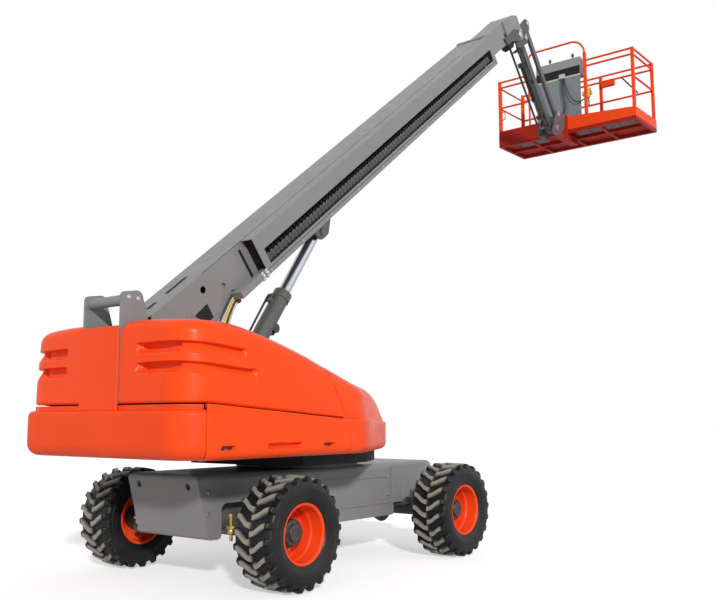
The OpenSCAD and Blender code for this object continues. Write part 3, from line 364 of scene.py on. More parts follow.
@dataclass(frozen=True)
class Finish:
    """A painted, moulded or bare surface, as procedural nodes on Object coordinates.

    The colour drifts between a darker and a paler tint by a coarse noise, dust lies in patches and thicker low down,
    edges wear by the difference between the true and a rounded normal, and a fine noise gives the relief.
    """

    name: str
    colour: Colour
    roughness: float
    metallic: float = 0.0
    coat: float = 0.0
    gloss: float = 0.5
    tint: float = 0.08
    drift_scale: float = 1.6
    grain: Grain = Grain.PEEL
    relief: float = 0.08
    grain_scale: float = 220.0
    dust: Colour = (0.33, 0.29, 0.24)
    dust_share: float = 0.10
    wear: Colour | None = None
    edge: float = 0.004
    face_attribute: str | None = None
    face_colour: Colour = (0.2, 0.19, 0.17)

    def material(self) -> bpy.types.Material:
        """The Blender material, made once and then found by its name.

        Returns:
            The material.
        """
        found = bpy.data.materials.get(self.label)
        return found if found else self._build()

    @property
    def label(self) -> str:
        """The material's name, kept apart from the frame's own materials."""
        return self.name + "_finish"

    def _build(self) -> bpy.types.Material:
        """Makes the node tree.

        Returns:
            The material.
        """
        mat = bpy.data.materials.new(self.label)
        mat.use_nodes = True
        tree = mat.node_tree
        bsdf = tree.nodes["Principled BSDF"]
        bsdf.inputs["Metallic"].default_value = self.metallic
        bsdf.inputs["Coat Weight"].default_value = self.coat
        bsdf.inputs["Coat Roughness"].default_value = 0.12
        bsdf.inputs["Specular IOR Level"].default_value = self.gloss
        where = tree.nodes.new("ShaderNodeTexCoord").outputs["Object"]
        drift = self._noise(tree, where, self.drift_scale, 5)
        dark = tuple(c * (1 - self.tint) for c in self.colour)
        pale = tuple(min(1.0, c * (1 + self.tint)) for c in self.colour)
        colour = self._mix(tree, drift, dark, pale)
        if self.face_attribute:
            mark = tree.nodes.new("ShaderNodeAttribute")
            mark.attribute_name = self.face_attribute
            colour = self._mix(tree, mark.outputs["Fac"], colour, self.face_colour)
        colour = self._mix(tree, self._dust(tree, where), colour, self.dust)
        bevel = None
        if self.wear:
            bevel = tree.nodes.new("ShaderNodeBevel")
            bevel.samples = 4
            bevel.inputs["Radius"].default_value = self.edge
            colour = self._mix(tree, self._worn(tree, where, bevel), colour, self.wear)
        tree.links.new(colour, bsdf.inputs["Base Color"])
        rough = self._range(tree, self._noise(tree, where, 9.0, 4), 0.3, 0.7, max(0.03, self.roughness - 0.07),
                            min(1.0, self.roughness + 0.09))
        tree.links.new(rough, bsdf.inputs["Roughness"])
        tree.links.new(self._bump(tree, where, bevel), bsdf.inputs["Normal"])
        return mat

    @staticmethod
    def _noise(tree: bpy.types.NodeTree, where: bpy.types.NodeSocket, scale: float,
               detail: float) -> bpy.types.NodeSocket:
        """A noise's factor at a scale.

        Args:
            tree: the material's node tree.
            where: the socket of the Object coordinates.
            scale: the noise's scale.
            detail: its octaves.

        Returns:
            The factor's socket.
        """
        node = tree.nodes.new("ShaderNodeTexNoise")
        node.inputs["Scale"].default_value = scale
        node.inputs["Detail"].default_value = detail
        tree.links.new(where, node.inputs["Vector"])
        return node.outputs["Fac"]

    @staticmethod
    def _mix(tree: bpy.types.NodeTree, factor: bpy.types.NodeSocket, a: object, b: object) -> bpy.types.NodeSocket:
        """A colour mixed from two colours or sockets by a factor.

        Args:
            tree: the material's node tree.
            factor: the share of the second.
            a: the first colour, or its socket.
            b: the second colour, or its socket.

        Returns:
            The mixed colour's socket.
        """
        node = tree.nodes.new("ShaderNodeMix")
        node.data_type = "RGBA"
        tree.links.new(factor, node.inputs["Factor"])
        for socket, value in ((node.inputs[6], a), (node.inputs[7], b)):
            if isinstance(value, tuple):
                socket.default_value = (*value, 1.0)
            else:
                tree.links.new(value, socket)
        return node.outputs[2]

    @staticmethod
    def _range(tree: bpy.types.NodeTree, value: bpy.types.NodeSocket, low: float, high: float, to_low: float,
               to_high: float) -> bpy.types.NodeSocket:
        """A value carried from one range to another, and held there.

        Args:
            tree: the material's node tree.
            value: the value's socket.
            low: where the first range starts.
            high: where it ends.
            to_low: what its start becomes.
            to_high: what its end becomes.

        Returns:
            The result's socket.
        """
        node = tree.nodes.new("ShaderNodeMapRange")
        for name, number in (("From Min", low), ("From Max", high), ("To Min", to_low), ("To Max", to_high)):
            node.inputs[name].default_value = number
        tree.links.new(value, node.inputs["Value"])
        return node.outputs["Result"]

    @staticmethod
    def _times(tree: bpy.types.NodeTree, a: bpy.types.NodeSocket, b: bpy.types.NodeSocket) -> bpy.types.NodeSocket:
        """The product of two values.

        Args:
            tree: the material's node tree.
            a: the first value.
            b: the second value.

        Returns:
            The product's socket.
        """
        node = tree.nodes.new("ShaderNodeMath")
        node.operation = "MULTIPLY"
        tree.links.new(a, node.inputs[0])
        tree.links.new(b, node.inputs[1])
        return node.outputs["Value"]

    def _dust(self, tree: bpy.types.NodeTree, where: bpy.types.NodeSocket) -> bpy.types.NodeSocket:
        """How much dust lies at a point: a patchy noise, more of it near the ground.

        Args:
            tree: the material's node tree.
            where: the socket of the Object coordinates.

        Returns:
            The socket of the dust's share.
        """
        split = tree.nodes.new("ShaderNodeSeparateXYZ")
        tree.links.new(where, split.inputs["Vector"])
        low = self._range(tree, split.outputs["Z"], 0.2, 1.4, self.dust_share * 2.2, self.dust_share * 0.4)
        patch = self._range(tree, self._noise(tree, where, 4.5, 7), 0.42, 0.72, 0.15, 1.0)
        return self._times(tree, low, patch)

    def _worn(self, tree: bpy.types.NodeTree, where: bpy.types.NodeSocket,
              bevel: bpy.types.Node) -> bpy.types.NodeSocket:
        """How worn a point is: how far the rounded normal leaves the true one, broken up by a noise.

        Args:
            tree: the material's node tree.
            where: the socket of the Object coordinates.
            bevel: the node that gives the rounded normal.

        Returns:
            The socket of the wear's share.
        """
        shape = tree.nodes.new("ShaderNodeNewGeometry")
        dot = tree.nodes.new("ShaderNodeVectorMath")
        dot.operation = "DOT_PRODUCT"
        tree.links.new(bevel.outputs["Normal"], dot.inputs[0])
        tree.links.new(shape.outputs["True Normal"], dot.inputs[1])
        edge = self._range(tree, dot.outputs["Value"], 0.985, 0.80, 0.0, 1.0)
        patch = self._range(tree, self._noise(tree, where, 14.0, 6), 0.50, 0.66, 0.0, 0.75)
        return self._times(tree, edge, patch)

    def _bump(self, tree: bpy.types.NodeTree, where: bpy.types.NodeSocket,
              bevel: bpy.types.Node | None) -> bpy.types.NodeSocket:
        """The relief: a noise whose form is the grain's, over the rounded normal where there is one.

        Args:
            tree: the material's node tree.
            where: the socket of the Object coordinates.
            bevel: the node that gives the rounded normal, or None.

        Returns:
            The normal's socket.
        """
        vector = where
        if self.grain is Grain.SCORED:
            stretch = tree.nodes.new("ShaderNodeMapping")
            stretch.inputs["Scale"].default_value = (1.0, 1.0, 0.04)
            tree.links.new(where, stretch.inputs["Vector"])
            vector = stretch.outputs["Vector"]
        height = self._noise(tree, vector, self.grain_scale, 8 if self.grain is Grain.CAST else 3)
        bump = tree.nodes.new("ShaderNodeBump")
        bump.inputs["Strength"].default_value = self.relief
        bump.inputs["Distance"].default_value = 0.002
        tree.links.new(height, bump.inputs["Height"])
        if bevel:
            tree.links.new(bevel.outputs["Normal"], bump.inputs["Normal"])
        return bump.outputs["Normal"]


GREY = Finish("grey_paint", (0.228, 0.229, 0.231), 0.45, coat=0.05, gloss=0.35, wear=(0.42, 0.42, 0.41))
ORANGE = Finish("orange_paint", (0.90, 0.068, 0.008), 0.42, gloss=0.15, wear=(0.55, 0.06, 0.02), dust_share=0.035)
COVER = Finish("orange_cover", (0.94, 0.072, 0.008), 0.34, gloss=0.16, tint=0.04, relief=0.03, grain=Grain.MOULDED,
               grain_scale=90.0, dust_share=0.025)
RED = Finish("red_underframe", (0.36, 0.014, 0.008), 0.50, gloss=0.15, wear=(0.45, 0.05, 0.02), dust_share=0.04)
DARK = Finish("dark_grey_paint", (0.095, 0.098, 0.102), 0.42, coat=0.05, gloss=0.35, wear=(0.3, 0.3, 0.3))
BLACK = Finish("black_paint", (0.022, 0.022, 0.024), 0.40, coat=0.1, wear=(0.09, 0.09, 0.09))
# Black that paints shade: in the boom's openings, under the console and under the turret; it also draws dark seam lines
# on the boom.
SHADOW = Finish("shade_and_seam_black", (0.010, 0.010, 0.011), 0.65, gloss=0.25, dust_share=0.03)
CASTING = Finish("rough_casting", (0.055, 0.055, 0.057), 0.62, grain=Grain.CAST, relief=0.35, grain_scale=70.0,
                 dust_share=0.22)
CHROME = Finish("polished_rod", (0.44, 0.46, 0.50), 0.16, metallic=1.0, tint=0.03, grain=Grain.SCORED, relief=0.02,
                grain_scale=400.0, dust_share=0.02)
BARREL = Finish("barrel_paint", (0.075, 0.077, 0.072), 0.40, coat=0.15, wear=(0.2, 0.2, 0.19))
CHAIN = Finish("chain_plastic", (0.055, 0.057, 0.060), 0.50, grain=Grain.MOULDED, dust_share=0.14)
CONSOLE = Finish("console_plastic", (0.27, 0.27, 0.285), 0.48, grain=Grain.MOULDED, relief=0.15, wear=(0.4, 0.4, 0.4))
SHEET = Finish("bare_sheet", (0.20, 0.225, 0.235), 0.42, metallic=0.25, grain=Grain.SCORED, relief=0.06)
ZINC = Finish("yellow_zinc", (0.55, 0.40, 0.14), 0.35, metallic=0.8, tint=0.18, drift_scale=20.0)
STEEL = Finish("bright_steel", (0.50, 0.50, 0.51), 0.32, metallic=0.9, tint=0.1)
HOSE = Finish("black_hose", (0.02, 0.02, 0.021), 0.55, grain=Grain.MOULDED, relief=0.2, dust_share=0.16)
YELLOW = Finish("yellow_sleeve", (0.70, 0.47, 0.03), 0.45, dust_share=0.12)
PALE = Finish("pale_sleeve", (0.50, 0.50, 0.46), 0.5, dust_share=0.15)
RUBBER = Finish("tyre_rubber", (0.007, 0.007, 0.008), 0.42, gloss=0.28, grain=Grain.CAST, relief=0.12,
                grain_scale=150.0, dust_share=0.02, face_attribute="lug_face", face_colour=(0.30, 0.288, 0.245))
MESH_STEEL = Finish("walkway_steel", (0.26, 0.27, 0.28), 0.5, metallic=0.7, dust_share=0.2)


# Pieces


def put(name: str, shape: Shape, body: str, finish: Finish, crease: float = 32.0,
        stands_for: Sequence[str] = (), attribute: tuple[str, Array] | None = None) -> bpy.types.Object:
    """Makes a piece's mesh, turns its faces outwards, gives it its finish and sets it on its body.

    Args:
        name: the piece's name.
        shape: its points and faces, in the frame.
        body: the CAD body it rides on.
        finish: its finish.
        crease: the angle in degrees above which an edge stays sharp.
        stands_for: CAD nodes that it replaces.
        attribute: a name and one value per point, for the finish to read.

    Returns:
        The object.
    """
    mesh = bpy.data.meshes.new(name)
    mesh.from_pydata(shape.points.tolist(), [], shape.faces)
    if attribute:
        mesh.attributes.new(attribute[0], "FLOAT", "POINT").data.foreach_set("value", attribute[1].astype(np.float32))
    work = bmesh.new()
    work.from_mesh(mesh)
    bmesh.ops.recalc_face_normals(work, faces=work.faces)
    work.to_mesh(mesh)
    work.free()
    mesh.polygons.foreach_set("use_smooth", np.ones(len(mesh.polygons), bool))
    mesh.set_sharp_from_angle(angle=math.radians(crease))
    mesh.materials.append(finish.material())
    piece = bpy.data.objects.new(name, mesh)
    bpy.context.scene.collection.objects.link(piece)
    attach(piece, body)
    if stands_for:
        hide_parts(*stands_for)
    LOG.info("%s: %d points on %s", name, len(shape.points), body)
    return piece


# Wheels


@dataclass
class Wheel:
    """A lugged tyre on a deep-dish rim with a planetary hub.

    The tyre is a grid: columns follow the lugs' sweep round the wheel, rows go over the section from bead to bead.
    Point (t, a) lies at radius carcass(t) + lug(t, a) depth and at the angle a + sweep(t), so that the lugs' flanks lie
    along the grid's columns. The lugs of the two halves stand half a pitch apart.
    """

    end: int
    side: int
    name: str
    axle_x: float = 1.250
    axle_z: float = 0.4775
    track_half: float = 1.060
    rim_r: float = 0.243
    lug_depth: float = 0.038
    lugs: int = 22
    cols: int = 18

    @property
    def centre(self) -> tuple[float, float, float]:
        """The middle of the wheel."""
        return (self.end * self.axle_x, self.side * self.track_half, self.axle_z)

    @property
    def body(self) -> str:
        """The body that the wheel is."""
        return "wheel_" + self.name

    def section(self) -> Array:
        """Rows of the carcass: place across the width, radius, lug height as a share of the depth.

        Returns:
            Rows by 3, from bead to bead.
        """
        half = [(0.000, 0.4395, 1.0), (0.010, 0.4395, 1.0), (0.022, 0.4393, 1.0), (0.040, 0.4390, 1.0),
                (0.062, 0.4386, 1.0), (0.084, 0.4380, 1.0), (0.106, 0.4372, 1.0), (0.128, 0.4362, 1.0),
                (0.150, 0.4348, 1.0), (0.168, 0.4332, 1.0), (0.180, 0.4316, 0.98), (0.187, 0.4300, 0.92),
                (0.193, 0.4270, 0.72), (0.200, 0.4215, 0.48), (0.2055, 0.4130, 0.26), (0.2090, 0.4010, 0.12),
                (0.2112, 0.3900, 0.0), (0.2120, 0.3800, 0.0), (0.2148, 0.3770, 0.0), (0.2150, 0.3700, 0.0),
                (0.2125, 0.3670, 0.0), (0.2138, 0.3500, 0.0), (0.2130, 0.3300, 0.0), (0.2090, 0.3100, 0.0),
                (0.2010, 0.2890, 0.0), (0.1955, 0.2780, 0.0), (0.1950, 0.2720, 0.0), (0.1890, 0.2640, 0.0),
                (0.1810, 0.2560, 0.0), (0.1720, 0.2480, 0.0)]
        right = np.array(half)
        left = right[:0:-1] * [-1, 1, 1]
        return np.concatenate([left, right])

    def tyre(self) -> tuple[Shape, Array]:
        """The tyre's shape, and for each point how much of it is a lug's worn face.

        Returns:
            The shape, and one value per point.
        """
        rows = self.section()
        w, r, share = (rows[:, k][:, None] for k in range(3))
        n = self.lugs * self.cols
        k = np.arange(n)[None, :]
        pitch = 2 * math.pi / self.lugs
        base = k * pitch / self.cols
        phase = (k / self.cols) % 1.0
        t = np.clip(np.abs(w) / 0.187, 0, 1)
        swept = math.radians(10.0) * (t - 0.13 * np.sin(2 * math.pi * t))
        waist = 0.185 + 0.020 * np.cos(2 * math.pi * t)
        near = np.abs((phase - 0.25 + 0.5) % 1.0 - 0.5)
        far = np.abs((phase - 0.75 + 0.5) % 1.0 - 0.5)
        bar_near = smooth((waist - near) / 0.055 + 0.5) * smooth((0.003 - w) / 0.012)
        bar_far = smooth((waist - far) / 0.055 + 0.5) * smooth((0.003 + w) / 0.012)
        lug = np.maximum(bar_near * (w < 0.03), bar_far * (w > -0.03)) * share
        radius = r + lug * self.lug_depth
        angle = base + swept
        u = np.broadcast_to(w, radius.shape)
        local = np.stack([radius * np.cos(angle), radius * np.sin(angle), u * self.side], -1)
        points = placed(local, Axis.Y, self.centre)
        face = lug * (np.abs(w) < 0.165)
        return grid(points, wrap_rows=True, wrap_cols=True), np.clip(face * 1.6 - 0.6, 0, 1).reshape(-1)

    def rim(self) -> Shape:
        """The rim: a turned ring from the inner flange over the drop centre to the outer flange, and a dished disc.

        Returns:
            The shape.
        """
        e, r = 0.181, self.rim_r
        barrel = [(r - 0.012, -e + 0.004), (r + 0.008, -e), (r + 0.012, -e + 0.003), (r + 0.011, -e + 0.008),
                  (r, -e + 0.011), (r, -0.10), (r - 0.016, -0.08), (r - 0.016, 0.04), (r, 0.07), (r, e - 0.011),
                  (r + 0.011, e - 0.008), (r + 0.013, e - 0.002), (r + 0.008, e), (r - 0.004, e - 0.002),
                  (r - 0.012, e - 0.012), (r - 0.014, 0.06), (r - 0.026, 0.045), (r - 0.027, -0.04),
                  (r - 0.016, -0.09)]
        w = r - 0.0255
        disc = [(0.118, -0.052), (0.150, -0.060), (w - 0.022, -0.078), (w, -0.090), (w, -0.066), (w - 0.021, -0.056),
                (0.174, -0.040), (0.150, -0.026), (0.118, -0.024)]
        weld = [(w + 0.0005, -0.064), (w - 0.0085, -0.061), (w - 0.0015, -0.052), (w + 0.0005, -0.050)]
        return Shape.join([lathe([(a, b * self.side) for a, b in profile], self.centre, Axis.Y, 96, wrap=True)
                           for profile in (barrel, disc, weld)])

    def hub(self) -> tuple[Shape, Shape]:
        """The hub's turned casting with cooling steps and the cover's bolts, and the wheel nuts round it.

        Returns:
            The casting with its bolts, and the nuts.
        """
        profile = [(0.0, -0.120), (0.1176, -0.120), (0.1176, 0.020), (0.1165, 0.026), (0.1120, 0.030), (0.1120, 0.050),
                   (0.1060, 0.058), (0.0980, 0.062), (0.0760, 0.062), (0.0740, 0.066), (0.0740, 0.080),
                   (0.0690, 0.087), (0.0600, 0.088), (0.0320, 0.088), (0.0300, 0.083), (0.0, 0.083)]
        body = lathe([(r, u * self.side) for r, u in profile], self.centre, Axis.Y, 72)
        ring = circle(0.092, 10)
        cover = [bolt((self.centre[0] + a, self.centre[1] + self.side * 0.0615, self.centre[2] + b), Axis.Y, 0.0085,
                      self.side) for a, b in ring]
        nuts = [bolt((self.centre[0] + a, self.centre[1] - self.side * 0.0265, self.centre[2] + b), Axis.Y, 0.015,
                     self.side) for a, b in circle(0.142, 9)]
        return Shape.join([body] + cover), Shape.join(nuts)

    def build(self) -> None:
        """Makes the wheel's pieces."""
        tyre, faces = self.tyre()
        put(f"tyre_skin_{self.name}", tyre, self.body, RUBBER, 40, ["tyre_" + self.name], ("lug_face", faces))
        put(f"rim_shell_{self.name}", self.rim(), self.body, ORANGE, 30, ["rim_" + self.name])
        hub, nuts = self.hub()
        put(f"hub_shell_{self.name}", hub, self.body, BLACK, 30, ["hub_" + self.name])
        put(f"wheel_nuts_{self.name}", nuts, self.body, STEEL, 30)


# Turret covers


@dataclass
class Covers:
    """The moulded covers round the turret: hoods, noses, skirts, the rear cover and the counterweight.

    Their outer skin is one family of surfaces. A plan outline runs from the tail's middle round the corner, along the
    side and round the nose. At place s along it and height z the skin lies at outline(s) - inset(z) normal(s). Over a
    shoulder, an arc that ends at the crown's own slope, it closes towards the middle at the height crown(x, y).
    """

    tail_x: float = -2.480
    half_w: float = 1.200
    tail_r: float = 0.340
    taper_x: float = -0.350
    nose_x: float = 0.720
    nose_half_w: float = 0.620
    nose_inner_y: float = 0.369
    seam_z: float = 1.545
    seam_front: tuple[float, float] = (-0.630, 1.425)
    split_x: float = -0.620
    split_swing: float = 0.156
    tail_split_x: float = -2.279
    gap: float = 0.0045
    band_low: float = 1.110
    inner_y: float = 0.268
    hood_inset: float = 0.052
    nose_inset: float = 0.030
    wall: float = 0.024
    step: float = 0.012
    latch_x: tuple[float, float] = (-2.07, -0.90)

    def outline(self, inset: float = 0.0) -> tuple[Array, Array, Array]:
        """The plan outline on the near side, every step: points, outward normals and distance along it.

        Args:
            inset: how far the outline is drawn in.

        Returns:
            Points (n by 2), normals (n by 2) and distances (n).
        """
        i = inset
        corners = [(self.tail_x + i, 0.0, 0.0), (self.tail_x + i, -self.half_w + i, self.tail_r - i * 0.5),
                   (self.taper_x, -self.half_w + i, 0.50), (self.nose_x - i, -self.nose_half_w + i, 0.16),
                   (self.nose_x - i, 0.0, 0.0)]
        points = [np.array(corners[0][:2])]
        for a, b, c in zip(corners[:-2], corners[1:-1], corners[2:]):
            pa, pb, pc = (np.array(q[:2]) for q in (a, b, c))
            u, v = unit(pa - pb), unit(pc - pb)
            half = math.acos(float(np.clip(u @ v, -1, 1))) / 2
            centre = pb + unit(u + v) * b[2] / math.sin(half)
            f, g = pb + u * b[2] / math.tan(half) - centre, pb + v * b[2] / math.tan(half) - centre
            start, end = math.atan2(f[1], f[0]), math.atan2(g[1], g[0])
            swing = (end - start + math.pi) % (2 * math.pi) - math.pi
            arc = start + swing * np.linspace(0, 1, 25)
            points.append(centre + b[2] * np.stack([np.cos(arc), np.sin(arc)], -1))
        points.append(np.array(corners[-1][:2]))
        p = np.concatenate([q.reshape(-1, 2) for q in points])
        far = np.concatenate([[0], np.cumsum(np.linalg.norm(np.diff(p, axis=0), axis=1))])
        s = np.linspace(0, far[-1], int(far[-1] / self.step))
        q = np.stack([np.interp(s, far, p[:, k]) for k in range(2)], -1)
        along = unit(np.gradient(q, axis=0))
        return q, np.stack([along[:, 1], -along[:, 0]], -1), s

    def stretch(self, inset: float, start: float | None, end: float | None) -> tuple[Array, Array, Array]:
        """The outline between two places along X on the side wall, its ends exact.

        Args:
            inset: how far the outline is drawn in.
            start: where it starts, or None for the inner edge at the tail.
            end: where it ends, or None for the inner edge at the nose.

        Returns:
            Points, normals and distances along the outline.
        """
        q, n, s = self.outline(inset)
        side = s > self.half_w - self.tail_r
        low = self.inner_y if start is None else float(np.interp(start, q[side, 0], s[side]))
        high = s[-1] - self.nose_inner_y if end is None else float(np.interp(end, q[side, 0], s[side]))
        at = np.linspace(low, high, int((high - low) / self.step))
        return (np.stack([np.interp(at, s, q[:, k]) for k in range(2)], -1),
                unit(np.stack([np.interp(at, s, n[:, k]) for k in range(2)], -1)), at)

    def crown(self, x: Array, y: Array) -> Array:
        """Height of the covers' top: a smoothed side profile, falling by square laws to the outer and inner edge.

        Args:
            x: places along the machine.
            y: places across it.

        Returns:
            Heights.
        """
        places = np.array([(-2.60, 2.195), (-2.42, 2.215), (-2.18, 2.236), (-1.92, 2.234), (-1.65, 2.198),
                           (-1.37, 2.145), (-1.07, 2.092), (-0.75, 2.010), (-0.40, 1.905), (-0.04, 1.798),
                           (0.15, 1.740), (0.34, 1.675), (0.54, 1.580), (0.80, 1.430)])
        fine = np.linspace(places[0, 0], places[-1, 0], 400)
        line = np.interp(fine, places[:, 0], places[:, 1])
        line = np.convolve(np.pad(line, 20, mode="edge"), np.ones(41) / 41, mode="valid")
        depth = np.interp(x, [-2.4, -1.9, -1.4, -0.8, -0.2, 0.4], [0.05, 0.07, 0.12, 0.22, 0.26, 0.20])
        rolled = 0.036 * np.clip((0.330 - np.abs(y)) / 0.062, 0, 1) ** 2
        return np.interp(x, fine, line) - depth * np.clip((np.abs(y) - 0.45) / 0.75, 0, 1) ** 2 - rolled

    def seam(self, x: Array) -> Array:
        """Height of the seam between the band and the hoods: level at the tail, then falling in a line to the nose."""
        return np.interp(x, [-2.25, self.seam_front[0]], [self.seam_z, self.seam_front[1]])

    def split(self, z: Array) -> Array:
        """Place along X of the joint before the nose: slanted over the band's height, swung back above the seam."""
        over = self.seam_front[1]
        return (self.split_x - self.split_swing * smooth((z - over) / 0.46)
                + 0.15 * np.clip(over - z, 0, 1))

    def drawn_to_split(self, points: Array, share: Array) -> Array:
        """Points moved along X by a share of what the joint before the nose leaves its straight place.

        Args:
            points: the points.
            share: how far each column follows the joint.

        Returns:
            The moved points.
        """
        moved = points.copy()
        moved[..., 0] += (self.split(points[..., 2]) - self.split_x) * share
        return moved

    def slots(self, x: Array, s: Array, z: Array) -> Array:
        """Depth of the louvre slots: sharp along the top, fading out below, and deep pockets on the tail's face.

        Args:
            x: places along the machine.
            s: distances along the outline.
            z: heights.

        Returns:
            Depths below the wall.
        """
        depth = np.zeros(np.broadcast_shapes(x.shape, z.shape))
        for top, end in ((2.032, -1.835), (1.874, -1.725)):
            edge = top - 0.045 * np.clip((x + 2.40) / 0.55, 0, 1)
            inside = smooth((s - 0.475) / 0.014) * smooth((end - x) / 0.03 + 0.5)
            under = smooth((edge - z) / 0.008)
            fade = np.clip((z - edge + 0.100) / 0.085, 0, 1)
            pocket = smooth((s - 0.50) / 0.014) * smooth((0.98 - s) / 0.02) * smooth((z - edge + 0.088) / 0.012)
            depth = np.maximum(depth, inside * under * np.maximum(0.046 * fade, 0.085 * pocket))
        return depth

    def over_shoulder(self, q: Array, n: Array, radius: Array, drawn: Array, foot: Array,
                      inner: Array, rows: int) -> tuple[Array, list[Array]]:
        """The shoulder and top above a wall.

        The arc of each column ends where its slope is the crown's, at the crown's height, and the top goes on in
        straight lines to the inner edge at the height crown(x, y).

        Args:
            q: outline points.
            n: their normals.
            radius: the shoulder's radius in each column.
            drawn: how far the wall's head is drawn in.
            foot: a height that the wall's head stays above.
            inner: points of the inner edge.
            rows: rows of the top.

        Returns:
            The wall's head heights, and the arc's and the top's points.
        """
        probe = q - n * (drawn + 0.6 * radius)[:, None]
        ahead = probe - n * 0.03
        rise = (self.crown(ahead[:, 0], ahead[:, 1]) - self.crown(probe[:, 0], probe[:, 1])) / 0.03
        reach = math.pi / 2 - np.arctan(np.clip(rise, 0, 1.2))
        end = q - n * (drawn + radius * (1 - np.cos(reach)))[:, None]
        height = self.crown(end[:, 0], end[:, 1])
        radius = np.minimum(radius, np.maximum(height - foot - 0.010, 0.006) / np.sin(reach))
        end = q - n * (drawn + radius * (1 - np.cos(reach)))[:, None]
        height = np.maximum(self.crown(end[:, 0], end[:, 1]), foot + 0.016)
        head = height - radius * np.sin(reach)
        a = np.linspace(0, 1, 14)[1:, None] * reach
        arc = q[None] - n[None] * (drawn + radius * (1 - np.cos(a)))[..., None]
        lift = head + radius * np.sin(a)
        t = np.linspace(0, 1, rows)[1:, None, None]
        across = end[None] * (1 - t) + inner[None] * t
        own = self.crown(across[..., 0], across[..., 1])
        own = own + (height - self.crown(end[:, 0], end[:, 1])) * (1 - smooth(t[..., 0] / 0.4))
        return head, [np.concatenate([arc, lift[..., None]], -1), np.concatenate([across, own[..., None]], -1)]

    def hood(self) -> Shape:
        """One hood on the near side: wall, shoulder and top as one grid, with a rolled rim at the foot.

        Column s follows the outline from the tail's inner edge to the split. Rows go up the wall from the seam, over
        the shoulder, and then across to the inner edge.

        Returns:
            The shape.
        """
        q, n, s = self.stretch(self.hood_inset, None, self.split_x - self.gap)
        share = np.clip((q[:, 0] + 1.50) / (self.split_x + 1.50), 0, 1)
        swung = q - np.stack([self.split_swing * share, np.zeros_like(share)], -1)
        inner = np.stack([np.interp(s, [s[0], s[-1]], [q[0, 0] + 0.10, swung[-1, 0]]),
                          np.full(len(s), -self.inner_y)], -1)
        radius = np.interp(s, [s[0], 0.8, 1.3, s[-1]], [0.07, 0.10, 0.13, 0.18])
        lean = np.interp(s, [s[0], 0.8, 1.3], [0.008, 0.015, 0.030])
        foot = self.seam(q[:, 0]) + 0.008
        head, top = self.over_shoulder(swung, n, radius, lean, foot, inner, 34)
        rows = np.linspace(0, 1, 150)[:, None]
        z = foot + (head - foot) * rows
        depth = lean * rows ** 1.5 + self.slots(q[None, :, 0], s[None, :], z) + 0.012 * (1 - smooth(rows / 0.03))
        wall = np.concatenate([q[None] - n[None] * depth[..., None], z[..., None]], -1)
        wall = self.drawn_to_split(wall, share)
        rim = wall[0] - np.concatenate([n * self.wall, np.zeros((len(n), 1))], 1)
        lip = top[-1][-1] - [0, 0, self.wall]
        return lipped(np.concatenate([rim[None], wall] + top + [lip[None]]), (-1.5, -0.6, 1.7))

    def nose(self) -> Shape:
        """The fixed nose on the near side: a band with a rounded foot, and its upper part drawn in over a step.

        Returns:
            The shape.
        """
        q, n, s = self.stretch(0.0, self.split_x + self.gap, None)
        share = np.clip((-0.44 - q[:, 0]) / (-0.44 - self.split_x), 0, 1)
        swung = q - np.stack([self.split_swing * share, np.zeros_like(share)], -1)
        inset = self.nose_inset + ((self.hood_inset - self.nose_inset)
                                   * smooth((-0.10 - q[:, 0]) / (-0.10 - self.split_x)))
        radius = np.interp(s, [s[0], s[0] + 0.9, s[-1]], [0.18, 0.12, 0.06])
        step = self.seam(q[:, 0]) - 0.03 * smooth((q[:, 0] + 0.2) / 0.7)
        z0 = step + 0.012
        inner = np.stack([np.interp(s, [s[0], s[-1]], [swung[0, 0], self.nose_x - 0.16]),
                          np.full(len(s), -self.nose_inner_y)], -1)
        head, top = self.over_shoulder(swung, n, radius, inset + 0.030, z0, inner, 26)
        low, foot = np.full(len(q), self.band_low), 0.07
        a = np.linspace(0, math.pi / 2, 9)[:, None]
        rows = [np.concatenate([q - n * 0.10, low[:, None]], 1)[None],
                np.concatenate([q[None] - n[None] * (foot * (1 - np.sin(a)))[..., None],
                                np.broadcast_to(low + foot * (1 - np.cos(a)), (9, len(q)))[..., None]], -1)]
        t = np.linspace(0, 1, 16)[1:, None]
        rows.append(np.concatenate([np.broadcast_to(q, (15, len(q), 2)),
                                    (low + foot + (step - 0.012 - low - foot) * t)[..., None]], -1))
        for drawn, up in ((0.2, -0.004), (0.8, 0.0), (1.0, 0.004), (1.0, 0.012)):
            rows.append(np.concatenate([q - n * (inset * drawn)[:, None], (step + up)[:, None]], 1)[None])
        t = np.linspace(0, 1, 28)[1:, None]
        rows.append(np.concatenate([q[None] - n[None] * (inset + 0.030 * t ** 1.5)[..., None],
                                    (z0 + (head - z0) * t)[..., None]], -1))
        rows = [self.drawn_to_split(row, share) for row in rows] + top
        down = top[-1][-1].copy()
        down[:, 2] = self.band_low
        return lipped(np.concatenate(rows + [down[None]]), (-0.1, -0.6, 1.5))

    def pocket(self, x: Array, z: Array) -> Array:
        """Depth of the skirt's handle pocket and of the two latch pockets near its foot, their sides slanted.

        Args:
            x: places along the machine.
            z: heights.

        Returns:
            Depths below the wall.
        """
        slant = (z - 1.21) * 0.45
        handle = (0.050 * window(x - slant, -1.64, -1.25, 0.012) * smooth((1.232 - z) / 0.008)
                  * smooth((z - 1.162) / 0.05))
        latch = sum(0.045 * window(x - slant, c - 0.072, c + 0.066, 0.012) * window(z, 1.130, 1.216, 0.010)
                    for c in self.latch_x)
        return np.maximum(handle, latch)

    def band(self) -> tuple[Shape, Shape]:
        """The counterweight's bumper round the tail and one skirt, both on the near side, as grids.

        Returns:
            The bumper and the skirt.
        """

